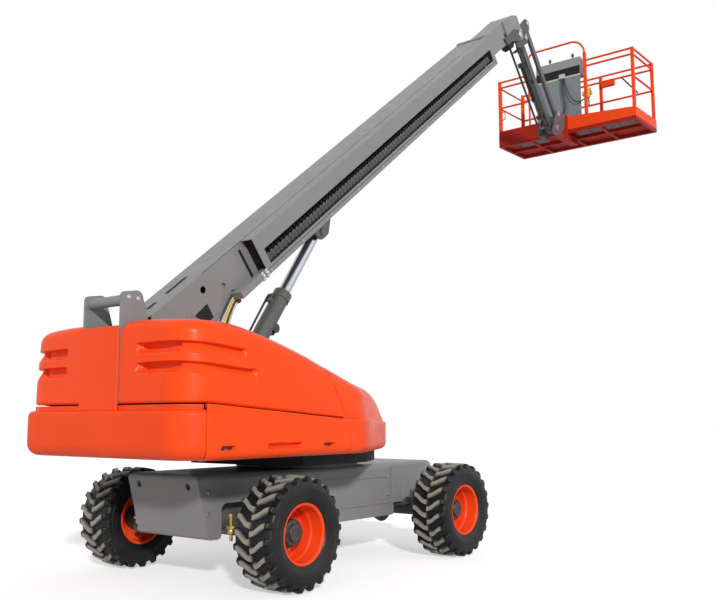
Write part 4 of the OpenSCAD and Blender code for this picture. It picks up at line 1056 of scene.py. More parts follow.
        def skin(place: tuple[Array, Array, Array], drawn_top: float, pockets: bool) -> Shape:
            """The band's skin over part of the outline: rounded foot, wall, rounded top rim and a lip inwards.

            Args:
                place: points, normals and distances along the outline.
                drawn_top: how far the top's inner lip is drawn in.
                pockets: whether it is the skirt, with pockets, or the bumper.

            Returns:
                The shape.
            """
            p, m, _ = place
            low, top = self.band_low, self.seam(p[:, 0]) - (0.004 if pockets else 0.046)
            foot, r = (0.075, 0.010) if pockets else (0.11, 0.045)
            a = np.linspace(0, math.pi / 2, 12)[:, None]
            rows = [np.concatenate([p - m * 0.20, np.full((len(p), 1), low)], 1)[None],
                    np.concatenate([p[None] - m[None] * (foot * (1 - np.sin(a)))[..., None],
                                    np.broadcast_to(low + foot * (1 - np.cos(a)), (12, len(p)))[..., None]], -1)]
            t = np.linspace(0, 1, 110)[1:, None]
            z = low + foot + (top - r - low - foot) * t
            depth = self.pocket(p[None, :, 0], z) if pockets else np.zeros_like(z)
            rows.append(np.concatenate([p[None] - m[None] * depth[..., None], z[..., None]], -1))
            a = np.linspace(0, math.pi / 2, 8)[1:, None]
            rows.append(np.concatenate([p[None] - m[None] * (r * (1 - np.cos(a)))[..., None],
                                        (top - r + r * np.sin(a))[..., None]], -1))
            rows.append(np.concatenate([p - m * drawn_top, top[:, None] + 0.002], 1)[None])
            rows.append(np.concatenate([p - m * drawn_top, (top + (-0.03 if pockets else 0.040))[:, None]], 1)[None])
            points = np.concatenate(rows)
            if not pockets:
                points = np.concatenate([points[:, :0:-1] * [1, -1, 1], points], axis=1)
                return lipped(points, (-1.5, 0.0, 1.3), 0.020, 0.002)
            share = np.clip((p[:, 0] + 1.50) / (self.split_x + 1.50), 0, 1)
            return lipped(self.drawn_to_split(points, share), (-1.5, -0.5, 1.3), 0.020, 0.002)

        q, n, s = self.outline(0.0)
        half = self.gap / 2
        tail_end = self.tail_split_x - half
        _, _, reach = self.stretch(0.0, None, tail_end)
        at = np.linspace(0, reach[-1], int(reach[-1] / self.step))
        tail = tuple(np.stack([np.interp(at, s, v[:, k]) for k in range(2)], -1) for v in (q, n))
        side = self.stretch(0.0, self.tail_split_x + half, self.split_x - self.gap)
        return skin((*tail, at), 0.075, False), skin(side, 0.06, True)

    def rear(self) -> Shape:
        """The cover between the hoods at the tail: a plate over the uprights' rear edges.

        Returns:
            The shape.
        """
        half, low, high = 0.262, 1.496, 2.188
        outline = rounded_path([(-half, low, 0), (-half, high, 0), (half, high, 0), (half, low, 0)], 0.018)[:, :2]
        return plate(outline, Axis.X, -2.440, -2.424, 0.006)

    def latches(self) -> tuple[Shape, Shape]:
        """Black latch plates in the skirts' pockets, black for the latches and as painted shade in the pockets, and
        their levers.

        Returns:
            The plates and the levers of both sides.
        """
        plates, levers = [], []
        for c in self.latch_x:
            y = -self.half_w + 0.036
            plates.append(plate([(c - 0.095, 1.128), (c + 0.036, 1.128), (c + 0.070, 1.213), (c - 0.056, 1.213)],
                                Axis.Y, y, y + 0.010, 0.002))
            levers.append(plate([(c - 0.040, 1.166), (c + 0.012, 1.160), (c + 0.030, 1.186), (c - 0.022, 1.196)],
                                Axis.Y, y - 0.016, y + 0.002, 0.004))
        plates, levers = Shape.join(plates), Shape.join(levers)
        return Shape.join([plates, plates.mirrored()]), Shape.join([levers, levers.mirrored()])

    def build(self) -> None:
        """Makes the covers on both sides."""
        hood, nose = self.hood(), self.nose()
        tail, side = self.band()
        plates, levers = self.latches()
        put("hood_shell_near", hood, "hood_near", COVER, 50, ["hood_near"])
        put("hood_shell_far", hood.mirrored(), "hood_far", COVER, 50, ["hood_far"])
        put("nose_shell_near", nose, "turret", COVER, 50, ["nose_near"])
        put("nose_shell_far", nose.mirrored(), "turret", COVER, 50, ["nose_far"])
        put("tail_casting", tail, "turret", ORANGE, 50, ["counterweight"])
        put("skirt_skin_near", side, "turret", COVER, 50, ["skirt_near"])
        put("skirt_skin_far", side.mirrored(), "turret", COVER, 50, ["skirt_far"])
        put("rear_cover", self.rear(), "turret", COVER, 40, ["rear_panel"])
        # Black plates: the latches' own colour and painted shade in the pockets.
        put("latch_and_pocket_shade_plates", plates, "turret", BLACK)
        put("latch_levers", levers, "turret", ORANGE)


# Fittings


def curve(through: Sequence[Point], count: int = 30) -> Array:
    """A smooth path through places, evenly stepped.

    Between two places it is the cubic Hermite curve whose tangents are the places' finite differences over their
    distances.

    Args:
        through: the places.
        count: points of the path.

    Returns:
        The path, count by 3.
    """
    p = np.asarray(through, float)
    knots = np.concatenate([[0], np.cumsum(np.linalg.norm(np.diff(p, axis=0), axis=1))])
    slope = np.gradient(p, knots, axis=0)
    at = np.linspace(0, knots[-1], 20 * count)
    k = np.clip(np.searchsorted(knots, at, side="right") - 1, 0, len(p) - 2)
    span = (knots[k + 1] - knots[k])[:, None]
    t = (at - knots[k])[:, None] / span
    fine = ((2 * t ** 3 - 3 * t ** 2 + 1) * p[k] + (t ** 3 - 2 * t ** 2 + t) * span * slope[k]
            + (3 * t ** 2 - 2 * t ** 3) * p[k + 1] + (t ** 3 - t ** 2) * span * slope[k + 1])
    far = np.concatenate([[0], np.cumsum(np.linalg.norm(np.diff(fine, axis=0), axis=1))])
    even = np.linspace(0, far[-1], count)
    return np.stack([np.interp(even, far, fine[:, j]) for j in range(3)], -1)


def hose(name: str, path: Array, radius: float, body: str, finish: "Finish", up: Point) -> None:
    """A hose along a path: a round section swept along it.

    Args:
        name: the piece's name.
        path: the points it follows.
        radius: the hose's radius.
        body: the body it rides on.
        finish: its finish.
        up: a direction that no part of the path follows.
    """
    piece = put(name, sweep(circle(radius, 12), path, up), body, finish)


def pin_cap(centre: Point, radius: float, out: float) -> Shape:
    """The end of a pin across the machine: a chamfered disc with a keeper plate and its bolt.

    Args:
        centre: the middle of the seat.
        radius: the disc's radius.
        out: 1 or -1, the way it stands out along Y.

    Returns:
        The shape.
    """
    x, y, z = centre
    disc = [(0.0, -0.004), (radius, -0.004), (radius, 0.008), (0.8 * radius, 0.014), (0.0, 0.014)]
    keeper = brick((x - 0.5 * radius, min(y, y + out * 0.012), z + 0.45 * radius),
                   (x + 0.5 * radius, max(y, y + out * 0.012), z + 1.55 * radius), 0.003)
    return Shape.join([lathe([(r, out * u) for r, u in disc], centre, Axis.Y, 32), keeper,
                       bolt((x, y + out * 0.011, z + 1.2 * radius), Axis.Y, 0.28 * radius, out)])


@dataclass(frozen=True)
class Leaning:
    """A frame that leans in the machine's middle plane: along it, across the machine, and square to both."""

    foot: tuple[float, float, float]
    angle: float

    def at(self, shape: Shape) -> Shape:
        """A shape given in this frame, set in the machine's."""
        return shape.turned(turn_about(Axis.Y, -self.angle)).shifted(self.foot)


@dataclass(frozen=True)
class BoomFittings:
    """What is fixed to the boom: end collars, tray clamps and bolts, black plates of painted shade in its openings,
    dark seam lines, and the hoses at its foot.
    """

    frame: Leaning = Leaning((-1.660, 0.0, 1.500), 38.3)
    half_w: float = 0.190
    low: float = 0.474
    top: float = 0.874
    end: float = 7.410
    tray_y: float = -0.345
    tray_s: tuple[float, float] = (1.497, 7.294)

    def collar(self, start: float, end: float, half_w: float, low: float, top: float, t: float) -> Shape:
        """A square ring of four bars round a section.

        Args:
            start: where it starts along the boom.
            end: where it ends.
            half_w: half the section's width.
            low: the section's underside.
            top: the section's top.
            t: the bars' thickness.

        Returns:
            The shape.
        """
        return Shape.join([
            brick((start, -half_w - t, top), (end, half_w + t, top + t)),
            brick((start, -half_w - t, low - t), (end, half_w + t, low)),
            brick((start, half_w, low - t), (end, half_w + t, top + t)),
            brick((start, -half_w - t, low - t), (end, -half_w, top + t))])

    def shade_plates_and_seams(self) -> Shape:
        """Black plates of painted shade in the slots in the top, over the hatch, in the strip behind the chain and at
        the tray's open end, and dark seam lines along the top edge and the tray's rail.

        Returns:
            The shape, in the boom's frame.
        """
        return Shape.join([
            brick((0.58, -0.024, self.top - 0.001), (0.87, 0.024, self.top + 0.002), 0.001),
            brick((0.32, -0.024, self.top - 0.001), (0.43, 0.024, self.top + 0.002), 0.001),
            brick((0.900, -self.half_w - 0.004, self.top - 0.001), (7.330, -self.half_w + 0.002, self.top + 0.001),
                  0.0005),
            brick((1.500, self.tray_y - 0.002, 0.522), (7.290, self.tray_y + 0.001, 0.527), 0.001),
            brick((1.412, -self.half_w - 0.003, 0.512), (1.444, -self.half_w + 0.001, 0.812), 0.001),
            plate([(0.585, 0.608), (0.778, 0.620), (0.771, 0.478), (0.672, 0.478)], Axis.Y, -self.half_w - 0.007,
                  -self.half_w - 0.003, 0.001),
            brick((1.60, -0.202, 0.556), (7.190, -0.192, 0.720), 0.001),
            brick((1.530, self.tray_y + 0.008, self.low + 0.010), (1.536, -self.half_w - 0.002, self.top - 0.012),
                  0.001)])

    def chain(self) -> Shape:
        """The chain's links in the lower half of the tray's window: waisted side plates with a crossbar in each.

        Returns:
            The shape, in the boom's frame.
        """
        pitch, low, high = 0.066, 0.562, 0.648
        links = []
        for s in np.arange(1.620, 7.12, pitch):
            side = [(s - 0.004, low + 0.010), (s + 0.020, low), (s + 0.046, low), (s + 0.058, low + 0.022),
                    (s + 0.050, high - 0.016), (s + 0.034, high), (s + 0.012, high), (s - 0.010, high - 0.022)]
            links += [plate(side, Axis.Y, y, y + 0.012, 0.003) for y in (-0.312, -0.226)]
            links.append(brick((s + 0.006, -0.316, low + 0.032), (s + 0.026, -0.214, low + 0.052), 0.003))
        return Shape.join(links)

    def bolts(self) -> Shape:
        """Bolts along the tray's foot and head, and the clamps at the rail's front end.

        Returns:
            The shape, in the boom's frame.
        """
        places = np.arange(self.tray_s[0] + 0.06, self.tray_s[1], 0.575)
        rows = [bolt((s, self.tray_y, 0.498), Axis.Y, 0.009, -1) for s in places]
        clamps = [brick((1.40 + 0.065 * k, self.tray_y - 0.006, 0.462), (1.435 + 0.065 * k, -0.268, 0.552), 0.004)
                  for k in range(2)]
        heads = [bolt((1.4175 + 0.065 * k, self.tray_y - 0.006, 0.508), Axis.Y, 0.015, -1) for k in range(2)]
        return Shape.join(rows + clamps + heads)

    def hoses(self) -> None:
        """Five hoses from a clamp behind the rail's end down to the boom's foot, side by side along its flank."""
        for k, finish in enumerate((HOSE, PALE, YELLOW, HOSE, PALE)):
            d = 0.023 * (k - 2)
            places = Shape(np.array([(1.125, -0.207, 0.482 - d), (1.06, -0.208, 0.470 - d),
                                     (0.96, -0.209, 0.430 - 1.1 * d), (0.80, -0.211, 0.345 - 1.4 * d),
                                     (0.60, -0.212, 0.235 - 1.5 * d), (0.40, -0.212, 0.150 - 1.4 * d),
                                     (0.22, -0.212, 0.085 - 1.2 * d)]), [])
            hose(f"boom_hose_{k}", curve(self.frame.at(places).points), 0.010, "boom", finish, (0, 1, 0.05))

    def build(self) -> None:
        """Makes the boom's fittings."""
        at = self.frame.at
        put("boom_collar", at(self.collar(7.335, self.end, self.half_w, self.low, self.top, 0.012)), "boom", GREY)
        put("mid_collar", at(self.collar(7.470, 7.540, 0.169, 0.495, 0.853, 0.008)), "mid", GREY)
        patch = plate([(0.560, 0.476), (0.560, 0.640), (0.600, 0.668), (0.840, 0.668), (0.872, 0.640), (0.872, 0.476)],
                      Axis.Y, -self.half_w - 0.004, -self.half_w + 0.002, 0.002)
        put("boom_patch", at(patch), "boom", GREY)
        put("chain_links", at(self.chain()), "boom", CHAIN, 30, ["cable_chain"])
        put("hose_clamp", at(brick((1.100, -0.222, 0.412), (1.138, -0.186, 0.552), 0.005)), "boom", BLACK)
        # Painted shade: black plates in the boom's openings, with dark seam lines.
        put("boom_shade_and_seams", at(self.shade_plates_and_seams()), "boom", SHADOW)
        put("boom_bolts", at(self.bolts()), "boom", STEEL)
        self.hoses()


@dataclass(frozen=True)
class LiftFittings:
    """Gland bolts, ports and the oil pipe on the lift cylinder."""

    frame: Leaning = Leaning((-1.279, 0.0, 1.209), 55.0)
    barrel_r: float = 0.090
    gland: float = 1.830

    def build(self) -> None:
        """Makes the cylinder's fittings: the pipe lies on its upper side, the port on its lower one."""
        r = self.barrel_r
        pipe = tube([(1.700, 0.03, r + 0.010), (1.700, 0.03, r + 0.040), (1.640, 0.03, r + 0.040),
                     (0.80, 0.03, r + 0.020), (0.76, 0.03, r - 0.01)], 0.012, 0.03)
        block = brick((1.655, -0.02, r - 0.02), (1.745, 0.075, r + 0.022), 0.006)
        port = Shape.join([lathe([(0.0, -0.02), (0.048, -0.02), (0.048, 0.030), (0.040, 0.040), (0.0, 0.040)],
                                 (1.42, -0.062, -r + 0.016), Axis.Y, 28),
                           brick((1.36, -0.05, -r - 0.030), (1.48, 0.05, -r + 0.02), 0.008)])
        ring = [bolt((self.gland - 0.001, a, b), Axis.X, 0.010) for a, b in circle(0.082, 10)]
        bands = [lathe([(r - 0.002, s - 0.012), (r + 0.004, s - 0.012), (r + 0.006, s), (r + 0.004, s + 0.012),
                        (r - 0.002, s + 0.012)], (0, 0, 0), Axis.X, 48, wrap=True) for s in (0.36, 1.20)]
        put("lift_pipe", self.frame.at(pipe), "lift_barrel", BLACK)
        put("lift_ports", self.frame.at(Shape.join([block, port])), "lift_barrel", BLACK)
        put("lift_bands", self.frame.at(Shape.join(bands)), "lift_barrel", BARREL)
        put("lift_bolts", self.frame.at(Shape.join(ring)), "lift_barrel", STEEL)


@dataclass(frozen=True)
class JibFittings:
    """Pin ends at the boom's tip and the jib, black plates of painted shade on the tip's cheeks, and the cylinder
    beside the jib's arm.
    """

    arm: Leaning = Leaning((5.0449, 0.0, 7.2749), -50.0)
    cylinder_y: float = 0.090
    eye_s: tuple[float, float] = (0.385, 1.29)
    pin_y: float = 0.132

    def pins(self, places: Sequence[tuple[float, float, float]], y: float) -> Shape:
        """Pin ends on both sides at places (x, z, radius)."""
        return Shape.join([pin_cap((x, side * y, z), r, side) for x, z, r in places for side in (NEAR, FAR)])

    def build(self) -> None:
        """Makes the jib's fittings."""
        put("tip_pins", self.pins([(4.7949, 7.2349, 0.050)], 0.168), "fly", STEEL)
        # Painted shade: black plates over the lower part of the cheeks at the fly's tip.
        cheek = plate([(4.300, 6.985), (4.600, 7.255), (4.790, 7.300), (4.850, 7.215), (4.790, 7.120), (4.560, 7.040),
                       (4.420, 6.930)], Axis.Y, -0.172, -0.150, 0.004)
        put("cheek_shade_plates", Shape.join([cheek, cheek.mirrored()]), "fly", BLACK)
        put("jib_head_pins", self.pins([(5.0449, 7.2749, 0.036), (5.1049, 7.5249, 0.034)], self.pin_y), "tip",
            STEEL)
        put("jib_foot_pins", self.pins([(6.0476, 6.0799, 0.036), (6.1076, 6.3299, 0.034)], self.pin_y), "upright",
            STEEL)
        y, z = self.cylinder_y, -0.012
        barrel = lathe([(0.0, 0.40), (0.026, 0.40), (0.029, 0.41), (0.029, 0.96), (0.033, 0.965), (0.033, 1.02),
                        (0.026, 1.03), (0.0, 1.03)], (0, y, z), Axis.X, 32)
        eyes = [lathe([(0.0, -0.022), (0.029, -0.022), (0.029, 0.022), (0.0, 0.022)], (s, y, z), Axis.Y, 24)
                for s in self.eye_s]
        brackets = [brick((s - 0.035, -0.030, -0.074), (s + 0.035, y + 0.028, -0.055), 0.004) for s in self.eye_s]
        lugs = [brick((s - 0.022, y - 0.032, -0.060), (s + 0.022, y - 0.022, z + 0.02), 0.003) for s in self.eye_s]
        band = [brick((0.66, -0.050, -0.062), (0.70, 0.050, -0.055), 0.003)]
        rod = lathe([(0.0, 1.02), (0.018, 1.02), (0.018, 1.27), (0.0, 1.27)], (0, y, z), Axis.X, 24)
        put("jib_cylinder", self.arm.at(Shape.join([barrel] + eyes + brackets + lugs + band)), "jib_arm", BLACK)
        put("jib_rod", self.arm.at(rod), "jib_arm", CHROME)


@dataclass(frozen=True)
class PlatformFittings:
    """Gratings, controls, cables and small fittings of the platform, from the low corner of its near face."""

    x: float = 6.5796
    z: float = 6.1499

    def at(self, shape: Shape) -> Shape:
        """A shape given from the platform's near face and underside, set in the frame."""
        return shape.shifted((self.x, 0.0, self.z))

    def gratings(self) -> Shape:
        """Six panels of crossed flat bars under the floor, near its front edge.

        Returns:
            The shape, from the platform's corner.
        """
        bars = []
        for low, high in ((-1.16, -0.93), (-0.89, -0.67), (-0.63, -0.42), (-0.38, -0.18), (0.40, 0.60), (0.66, 0.90)):
            across = np.linspace(low, high, 9)
            deep = np.linspace(0.062, 0.250, 8)
            bars += [brick((0.060, y - 0.004, 0.012), (0.252, y + 0.004, 0.017), 0.001) for y in across]
            bars += [brick((x - 0.004, low, 0.016), (x + 0.004, high, 0.021), 0.001) for x in deep]
            bars += [brick((x - 0.006, low - 0.010, 0.008), (x + 0.006, high + 0.010, 0.024), 0.002)
                     for x in (0.052, 0.260)]
        return Shape.join(bars)

    def controls(self) -> tuple[Shape, Shape, Shape]:
        """Two joysticks in bellows, a row of switches, and a stop button, on the console's top.

        Returns:
            The joysticks, the switches and the button.
        """
        sticks = []
        for y in (-0.12, 0.30):
            bellows = [(0.0, 1.24), (0.056, 1.24), (0.056, 1.262), (0.046, 1.268), (0.048, 1.278), (0.036, 1.284),
                       (0.038, 1.294), (0.024, 1.302), (0.012, 1.306), (0.011, 1.370), (0.020, 1.378), (0.026, 1.400),
                       (0.022, 1.424), (0.010, 1.434), (0.0, 1.435)]
            sticks.append(lathe(bellows, (0.175, y, 0), Axis.Z, 28))
        switches = [lathe([(0.0, 1.24), (0.011, 1.24), (0.011, 1.272), (0.006, 1.276), (0.004, 1.302), (0.0, 1.304)],
                          (0.215, y, 0), Axis.Z, 12) for y in np.linspace(-0.02, 0.20, 6)]
        stop = lathe([(0.0, 1.24), (0.016, 1.24), (0.016, 1.276), (0.032, 1.278), (0.034, 1.290), (0.024, 1.300),
                      (0.0, 1.303)], (0.200, -0.235, 0), Axis.Z, 28)
        return Shape.join(sticks), Shape.join(switches), stop

    def cables(self) -> None:
        """Two cables that hang from the connector before the panel, one to the floor and one to the hoop's post."""
        routes = ([(0.032, 0.030, 0.985), (0.024, 0.028, 0.900), (0.012, 0.015, 0.760), (0.008, -0.020, 0.600),
                   (0.010, -0.022, 0.450), (0.022, 0.030, 0.300), (0.030, 0.075, 0.180)],
                  [(0.032, -0.012, 0.985), (0.022, -0.030, 0.890), (0.012, -0.085, 0.720), (0.008, -0.150, 0.590),
                   (0.010, -0.225, 0.520), (0.014, -0.305, 0.505), (0.020, -0.372, 0.535)])
        for k, route in enumerate(routes):
            path = curve(self.at(Shape(np.array(route), [])).points)
            hose(f"platform_cable_{k}", path, 0.016 - 0.006 * k, "platform", HOSE, (1, 0.02, 0.03))

    def build(self) -> None:
        """Makes the platform's fittings."""
        sticks, switches, stop = self.controls()
        put("floor_gratings", self.at(self.gratings()), "platform", MESH_STEEL)
        put("joysticks", self.at(sticks), "platform", BLACK)
        put("console_switches", self.at(switches), "platform", STEEL)
        put("stop_button", self.at(stop), "platform", RED)
        # Painted shade: a black block under the console.
        blocks = (("console_underside_shade", (0.046, -0.298, 1.012), (0.0535, 0.508, 1.155), 0.003, SHADOW, "black_paint"),
                  # Painted light: a pale strip stands in for the bright backdrop seen through the gap above the panel.
                  ("panel_gap_light", (0.044, -0.302, 0.975), (0.058, 0.512, 1.008), 0.004, PALE, "zinc_sheet"),
                  # Painted shade: a dark red plate over the left toe board.
                  ("left_toe_shade", (-0.001, 0.34, 0.060), (0.006, 1.236, 0.290), 0.002, RED, "orange_paint"),
                  ("connector_box", (0.018, -0.030, 0.975), (0.050, 0.070, 1.060), 0.008, PALE, "zinc_sheet"))
        for name, low, high, edge, finish, slot in blocks:
            put(name, self.at(brick(low, high, edge)), "platform", finish)
        self.cables()
        box = brick((0.820, -0.57, 0.965), (0.872, -0.33, 1.095), 0.016)
        loop = tube([(0.020, 1.200, 0.640), (0.020, 1.120, 0.640), (0.020, 1.120, 0.500), (0.020, 1.200, 0.500)],
                    0.008, 0.035)
        put("rail_box", self.at(Shape.join([box, loop])), "platform", ORANGE)
        stem = tube([(0.875, -0.080, 0.730), (0.870, -0.080, 0.900)], 0.012)
        strut = tube([(0.872, -0.700, 1.070), (0.872, -0.960, 0.745)], 0.013)
        put("rail_strut", self.at(Shape.join([stem, strut])), "platform", BLACK)
        plug = Shape.join([lathe([(0.0, 0.860), (0.034, 0.860), (0.044, 0.880), (0.044, 0.985), (0.058, 0.990),
                                  (0.058, 1.030), (0.0, 1.036)], (0.850, -0.080, 0), Axis.Z, 24),
                           brick((0.822, -0.150, 0.900), (0.872, 0.020, 0.985), 0.012)])
        put("rail_plug", self.at(plug), "platform", YELLOW)


@dataclass(frozen=True)
class ChassisFittings:
    """Gussets, bolts and steering arms of the chassis, the bolts under the turret, and a black pan under the turret
    that paints the shade there.
    """

    half_w: float = 0.478
    stop_x: float = 1.215
    stop_y: float = -0.572

    def steering_arm(self) -> Shape:
        """One steering arm on the near knuckle with its ball pin and nut.

        Returns:
            The shape.
        """
        arm = plate([(-1.30, -0.80), (-1.30, -0.72), (-1.465, -0.585), (-1.525, -0.595), (-1.530, -0.650),
                     (-1.37, -0.80)], Axis.Z, 0.500, 0.530, 0.005)
        pin = lathe([(0.0, 0.400), (0.015, 0.400), (0.015, 0.455), (0.030, 0.460), (0.034, 0.480), (0.028, 0.500),
                     (0.016, 0.505), (0.016, 0.600), (0.026, 0.602), (0.026, 0.626), (0.0, 0.628)],
                    (-1.495, -0.622, 0), Axis.Z, 20)
        return Shape.join([arm, pin])

    def gusset(self) -> Shape:
        """Stiffening plates on the near side of the chassis.

        Returns:
            The shape.
        """
        y = -self.half_w
        front = Shape.join([
            plate([(0.985, 0.525), (0.985, 0.925), (1.640, 0.925), (1.640, 0.560), (1.600, 0.525)], Axis.Y, y - 0.006,
                  y + 0.006),
            plate([(1.185, 0.55), (1.185, 0.80), (1.215, 0.79), (1.37, 0.62), (1.37, 0.55)], Axis.Y, y - 0.016, y)])
        tail = plate([(-1.00, 0.42), (-1.00, 0.56), (-0.965, 0.56), (-0.86, 0.44), (-0.86, 0.42)], Axis.Y, y - 0.010,
                     y + 0.004)
        return Shape.join([front, tail])

    def bolts(self) -> Shape:
        """Bolts of the chassis side near each axle."""
        places = [(x, z) for x in (-1.62, -0.92, 0.92, 1.60) for z in (0.62, 0.80)]
        return Shape.join([bolt((x, -self.half_w + 0.008, z), Axis.Y, 0.014, -1) for x, z in places])

    def build(self) -> None:
        """Makes the chassis' and the turret's fittings."""
        arm, gusset, bolts = self.steering_arm(), self.gusset(), self.bolts()
        put("steering_arm_near", arm, "knuckle_near", ZINC)
        put("steering_arm_far", arm.mirrored(), "knuckle_far", ZINC)
        put("chassis_gussets", Shape.join([gusset, gusset.mirrored()]), "chassis", GREY)
        shelf = brick((1.02, -0.600, 0.500), (1.36, -self.half_w + 0.004, 0.515), 0.003)
        put("axle_shelves", Shape.join([shelf, shelf.mirrored()]), "chassis", BLACK)
        x, y = self.stop_x, self.stop_y
        stop = Shape.join([tube([(x, y, 0.395), (x, y, 0.516)], 0.014),
                           lathe([(0.0, 0.0), (0.026, 0.0), (0.026, 0.024), (0.0, 0.024)], (x, y, 0.474), Axis.Z, 6)])
        put("axle_stops", Shape.join([stop, stop.mirrored()]), "chassis", ZINC)
        put("chassis_bolts", Shape.join([bolts, bolts.mirrored()]), "chassis", STEEL)
        heads = Shape.join([bolt((x, -0.262, z), Axis.Y, 0.016, -1)
                            for x, z in ((-2.257, 2.422), (-2.349, 2.429))])
        put("upright_bolts", Shape.join([heads, heads.mirrored()]), "turret", STEEL)
        ring = [bolt((a, b, 1.052), Axis.Z, 0.016) for a, b in circle(0.585, 36)]
        # Painted shade: a black pan under the turret fills the shaded gap above the chassis.
        outer = [(-0.90, 0.0), (-0.90, 0.60), (-0.74, 0.76), (0.20, 0.76), (0.58, 0.56), (0.70, 0.30), (0.70, 0.0)]
        pan = plate(np.concatenate([outer, circle(0.66, 24)[:13]]), Axis.Z, 0.996, 1.112, 0.008)
        put("belly_shade_pan", Shape.join([pan, pan.mirrored()]), "turret", SHADOW)
        put("slew_bolts", Shape.join(ring + [lathe([(0.540, 0.955), (0.620, 0.955), (0.620, 1.048), (0.612, 1.054),
                                                    (0.540, 1.054)], (0, 0, 0), Axis.Z, 72, wrap=True)]),
            "chassis", CASTING)


@dataclass(frozen=True)
class Machinery:
    """What is seen under the raised hoods: fittings of the engine on the near side and of the tank on the far side."""

    engine: tuple[float, float, float] = (-1.975, -0.877, 1.870)
    engine_end: float = -0.925
    tank_y: tuple[float, float] = (0.430, 0.950)
    tank_top: float = 1.790

    def engine_parts(self) -> tuple[Shape, Shape]:
        """Valve cover, air filter, fan and pulley; then bolts and the exhaust pipe.

        Returns:
            The dark parts and the bright ones.
        """
        x, y, top = self.engine
        cover = brick((x + 0.14, y + 0.08, top - 0.005), (x + 0.82, y + 0.27, top + 0.040), 0.014)
        filters = lathe([(0.0, 0.0), (0.050, 0.0), (0.074, 0.010), (0.074, 0.080), (0.066, 0.085), (0.066, 0.300),
                         (0.074, 0.305), (0.074, 0.380), (0.030, 0.392), (0.0, 0.392)],
                        (x + 0.06, y + 0.345, top + 0.085), Axis.X, 36)
        saddle = brick((x + 0.16, y + 0.305, top - 0.005), (x + 0.34, y + 0.372, top + 0.030), 0.006)
        fan = lathe([(0.0, -0.004), (0.215, -0.004), (0.225, 0.004), (0.225, 0.030), (0.205, 0.036), (0.110, 0.030),
                     (0.090, 0.052), (0.035, 0.056), (0.0, 0.056)],
                    (self.engine_end, y + 0.187, top - 0.34), Axis.X, 48)
        heads = [bolt((s, y + d, top + 0.039), Axis.Z, 0.011) for s in np.linspace(x + 0.19, x + 0.77, 6)
                 for d in (0.105, 0.245)]
        pipe = tube([(x + 0.45, y + 0.02, top - 0.16), (x + 0.45, y - 0.085, top - 0.16),
                     (x + 0.70, y - 0.085, top - 0.30), (x + 0.70, y - 0.085, top - 0.58)], 0.028, 0.09)
        return Shape.join([cover, filters, saddle, fan]), Shape.join(heads + [pipe])

    def tank_parts(self) -> tuple[Shape, Shape]:
        """Filler, return filter and straps; then the level glass and the straps' bolts.

        Returns:
            The dark parts and the bright ones.
        """
        low, high = self.tank_y
        top = self.tank_top
        straps = []
        for s in (-1.74, -1.16):
            straps += [brick((s, low - 0.006, top - 0.004), (s + 0.05, high + 0.008, top + 0.008)),
                       brick((s, high - 0.004, 1.175), (s + 0.05, high + 0.008, top + 0.008))]
        neck = lathe([(0.0, -0.005), (0.036, -0.005), (0.036, 0.040), (0.052, 0.042), (0.052, 0.078), (0.044, 0.086),
                      (0.0, 0.086)], (-1.02, 0.70, top), Axis.Z, 32)
        filters = lathe([(0.0, -0.005), (0.085, -0.005), (0.085, 0.014), (0.062, 0.018), (0.062, 0.095),
                         (0.052, 0.104), (0.0, 0.104)], (-1.46, 0.66, top), Axis.Z, 32)
        glass = tube([(-1.05, high - 0.01, 1.34), (-1.05, high + 0.022, 1.34), (-1.05, high + 0.022, 1.62),
                      (-1.05, high - 0.01, 1.62)], 0.010, 0.02)
        heads = [bolt((-1.46 + a, 0.66 + b, top + 0.013), Axis.Z, 0.009) for a, b in circle(0.074, 6)]
        return Shape.join(straps + [neck, filters]), Shape.join([glass] + heads)

    def build(self) -> None:
        """Makes the machinery's fittings."""
        for name, (dark, bright) in (("engine", self.engine_parts()), ("tank", self.tank_parts())):
            put(f"{name}_fittings", dark, "turret", BLACK)
            put(f"{name}_bolts", bright, "turret", STEEL)


# The CAD nodes that stay


NODE_FINISH: dict[str, Finish] = {
    **dict.fromkeys(("chassis_frame", "turntable", "boom_base", "cable_tray", "boom_mid", "boom_fly"), GREY),
    **dict.fromkeys(("jib_arm", "jib_links", "jib_upright"), DARK),
    **dict.fromkeys(("slew_ring", "drive_axle", "steer_axle", "knuckle_near", "knuckle_far", "engine", "tank"),
                    CASTING),
    **dict.fromkeys(("rear_panel", "hood_near", "hood_far", "nose_near", "nose_far", "skirt_near", "skirt_far"), COVER),
    **dict.fromkeys(("counterweight", "toe_boards", "platform_rails", "gate"), ORANGE),
    **dict.fromkeys(("platform_mount", "platform_floor"), RED),
    **dict.fromkeys(("tip_bracket", "jib_lower_rods"), BLACK),
    "lift_barrel": BARREL, "lift_rod": CHROME, "cable_chain": CHAIN, "console": CONSOLE, "console_panel": SHEET,
}


def dress_nodes(nodes: dict[str, bpy.types.Object]) -> None:
    """Gives each CAD node its finish.

    Args:
        nodes: the frame's nodes by name.
    """
    for name, node in nodes.items():
        wheel = RUBBER if name.startswith("tyre") else ORANGE if name.startswith("rim") else BLACK
        finish = NODE_FINISH.get(name, wheel)
        node.data.materials.clear()
        node.data.materials.append(finish.material())


# Stage


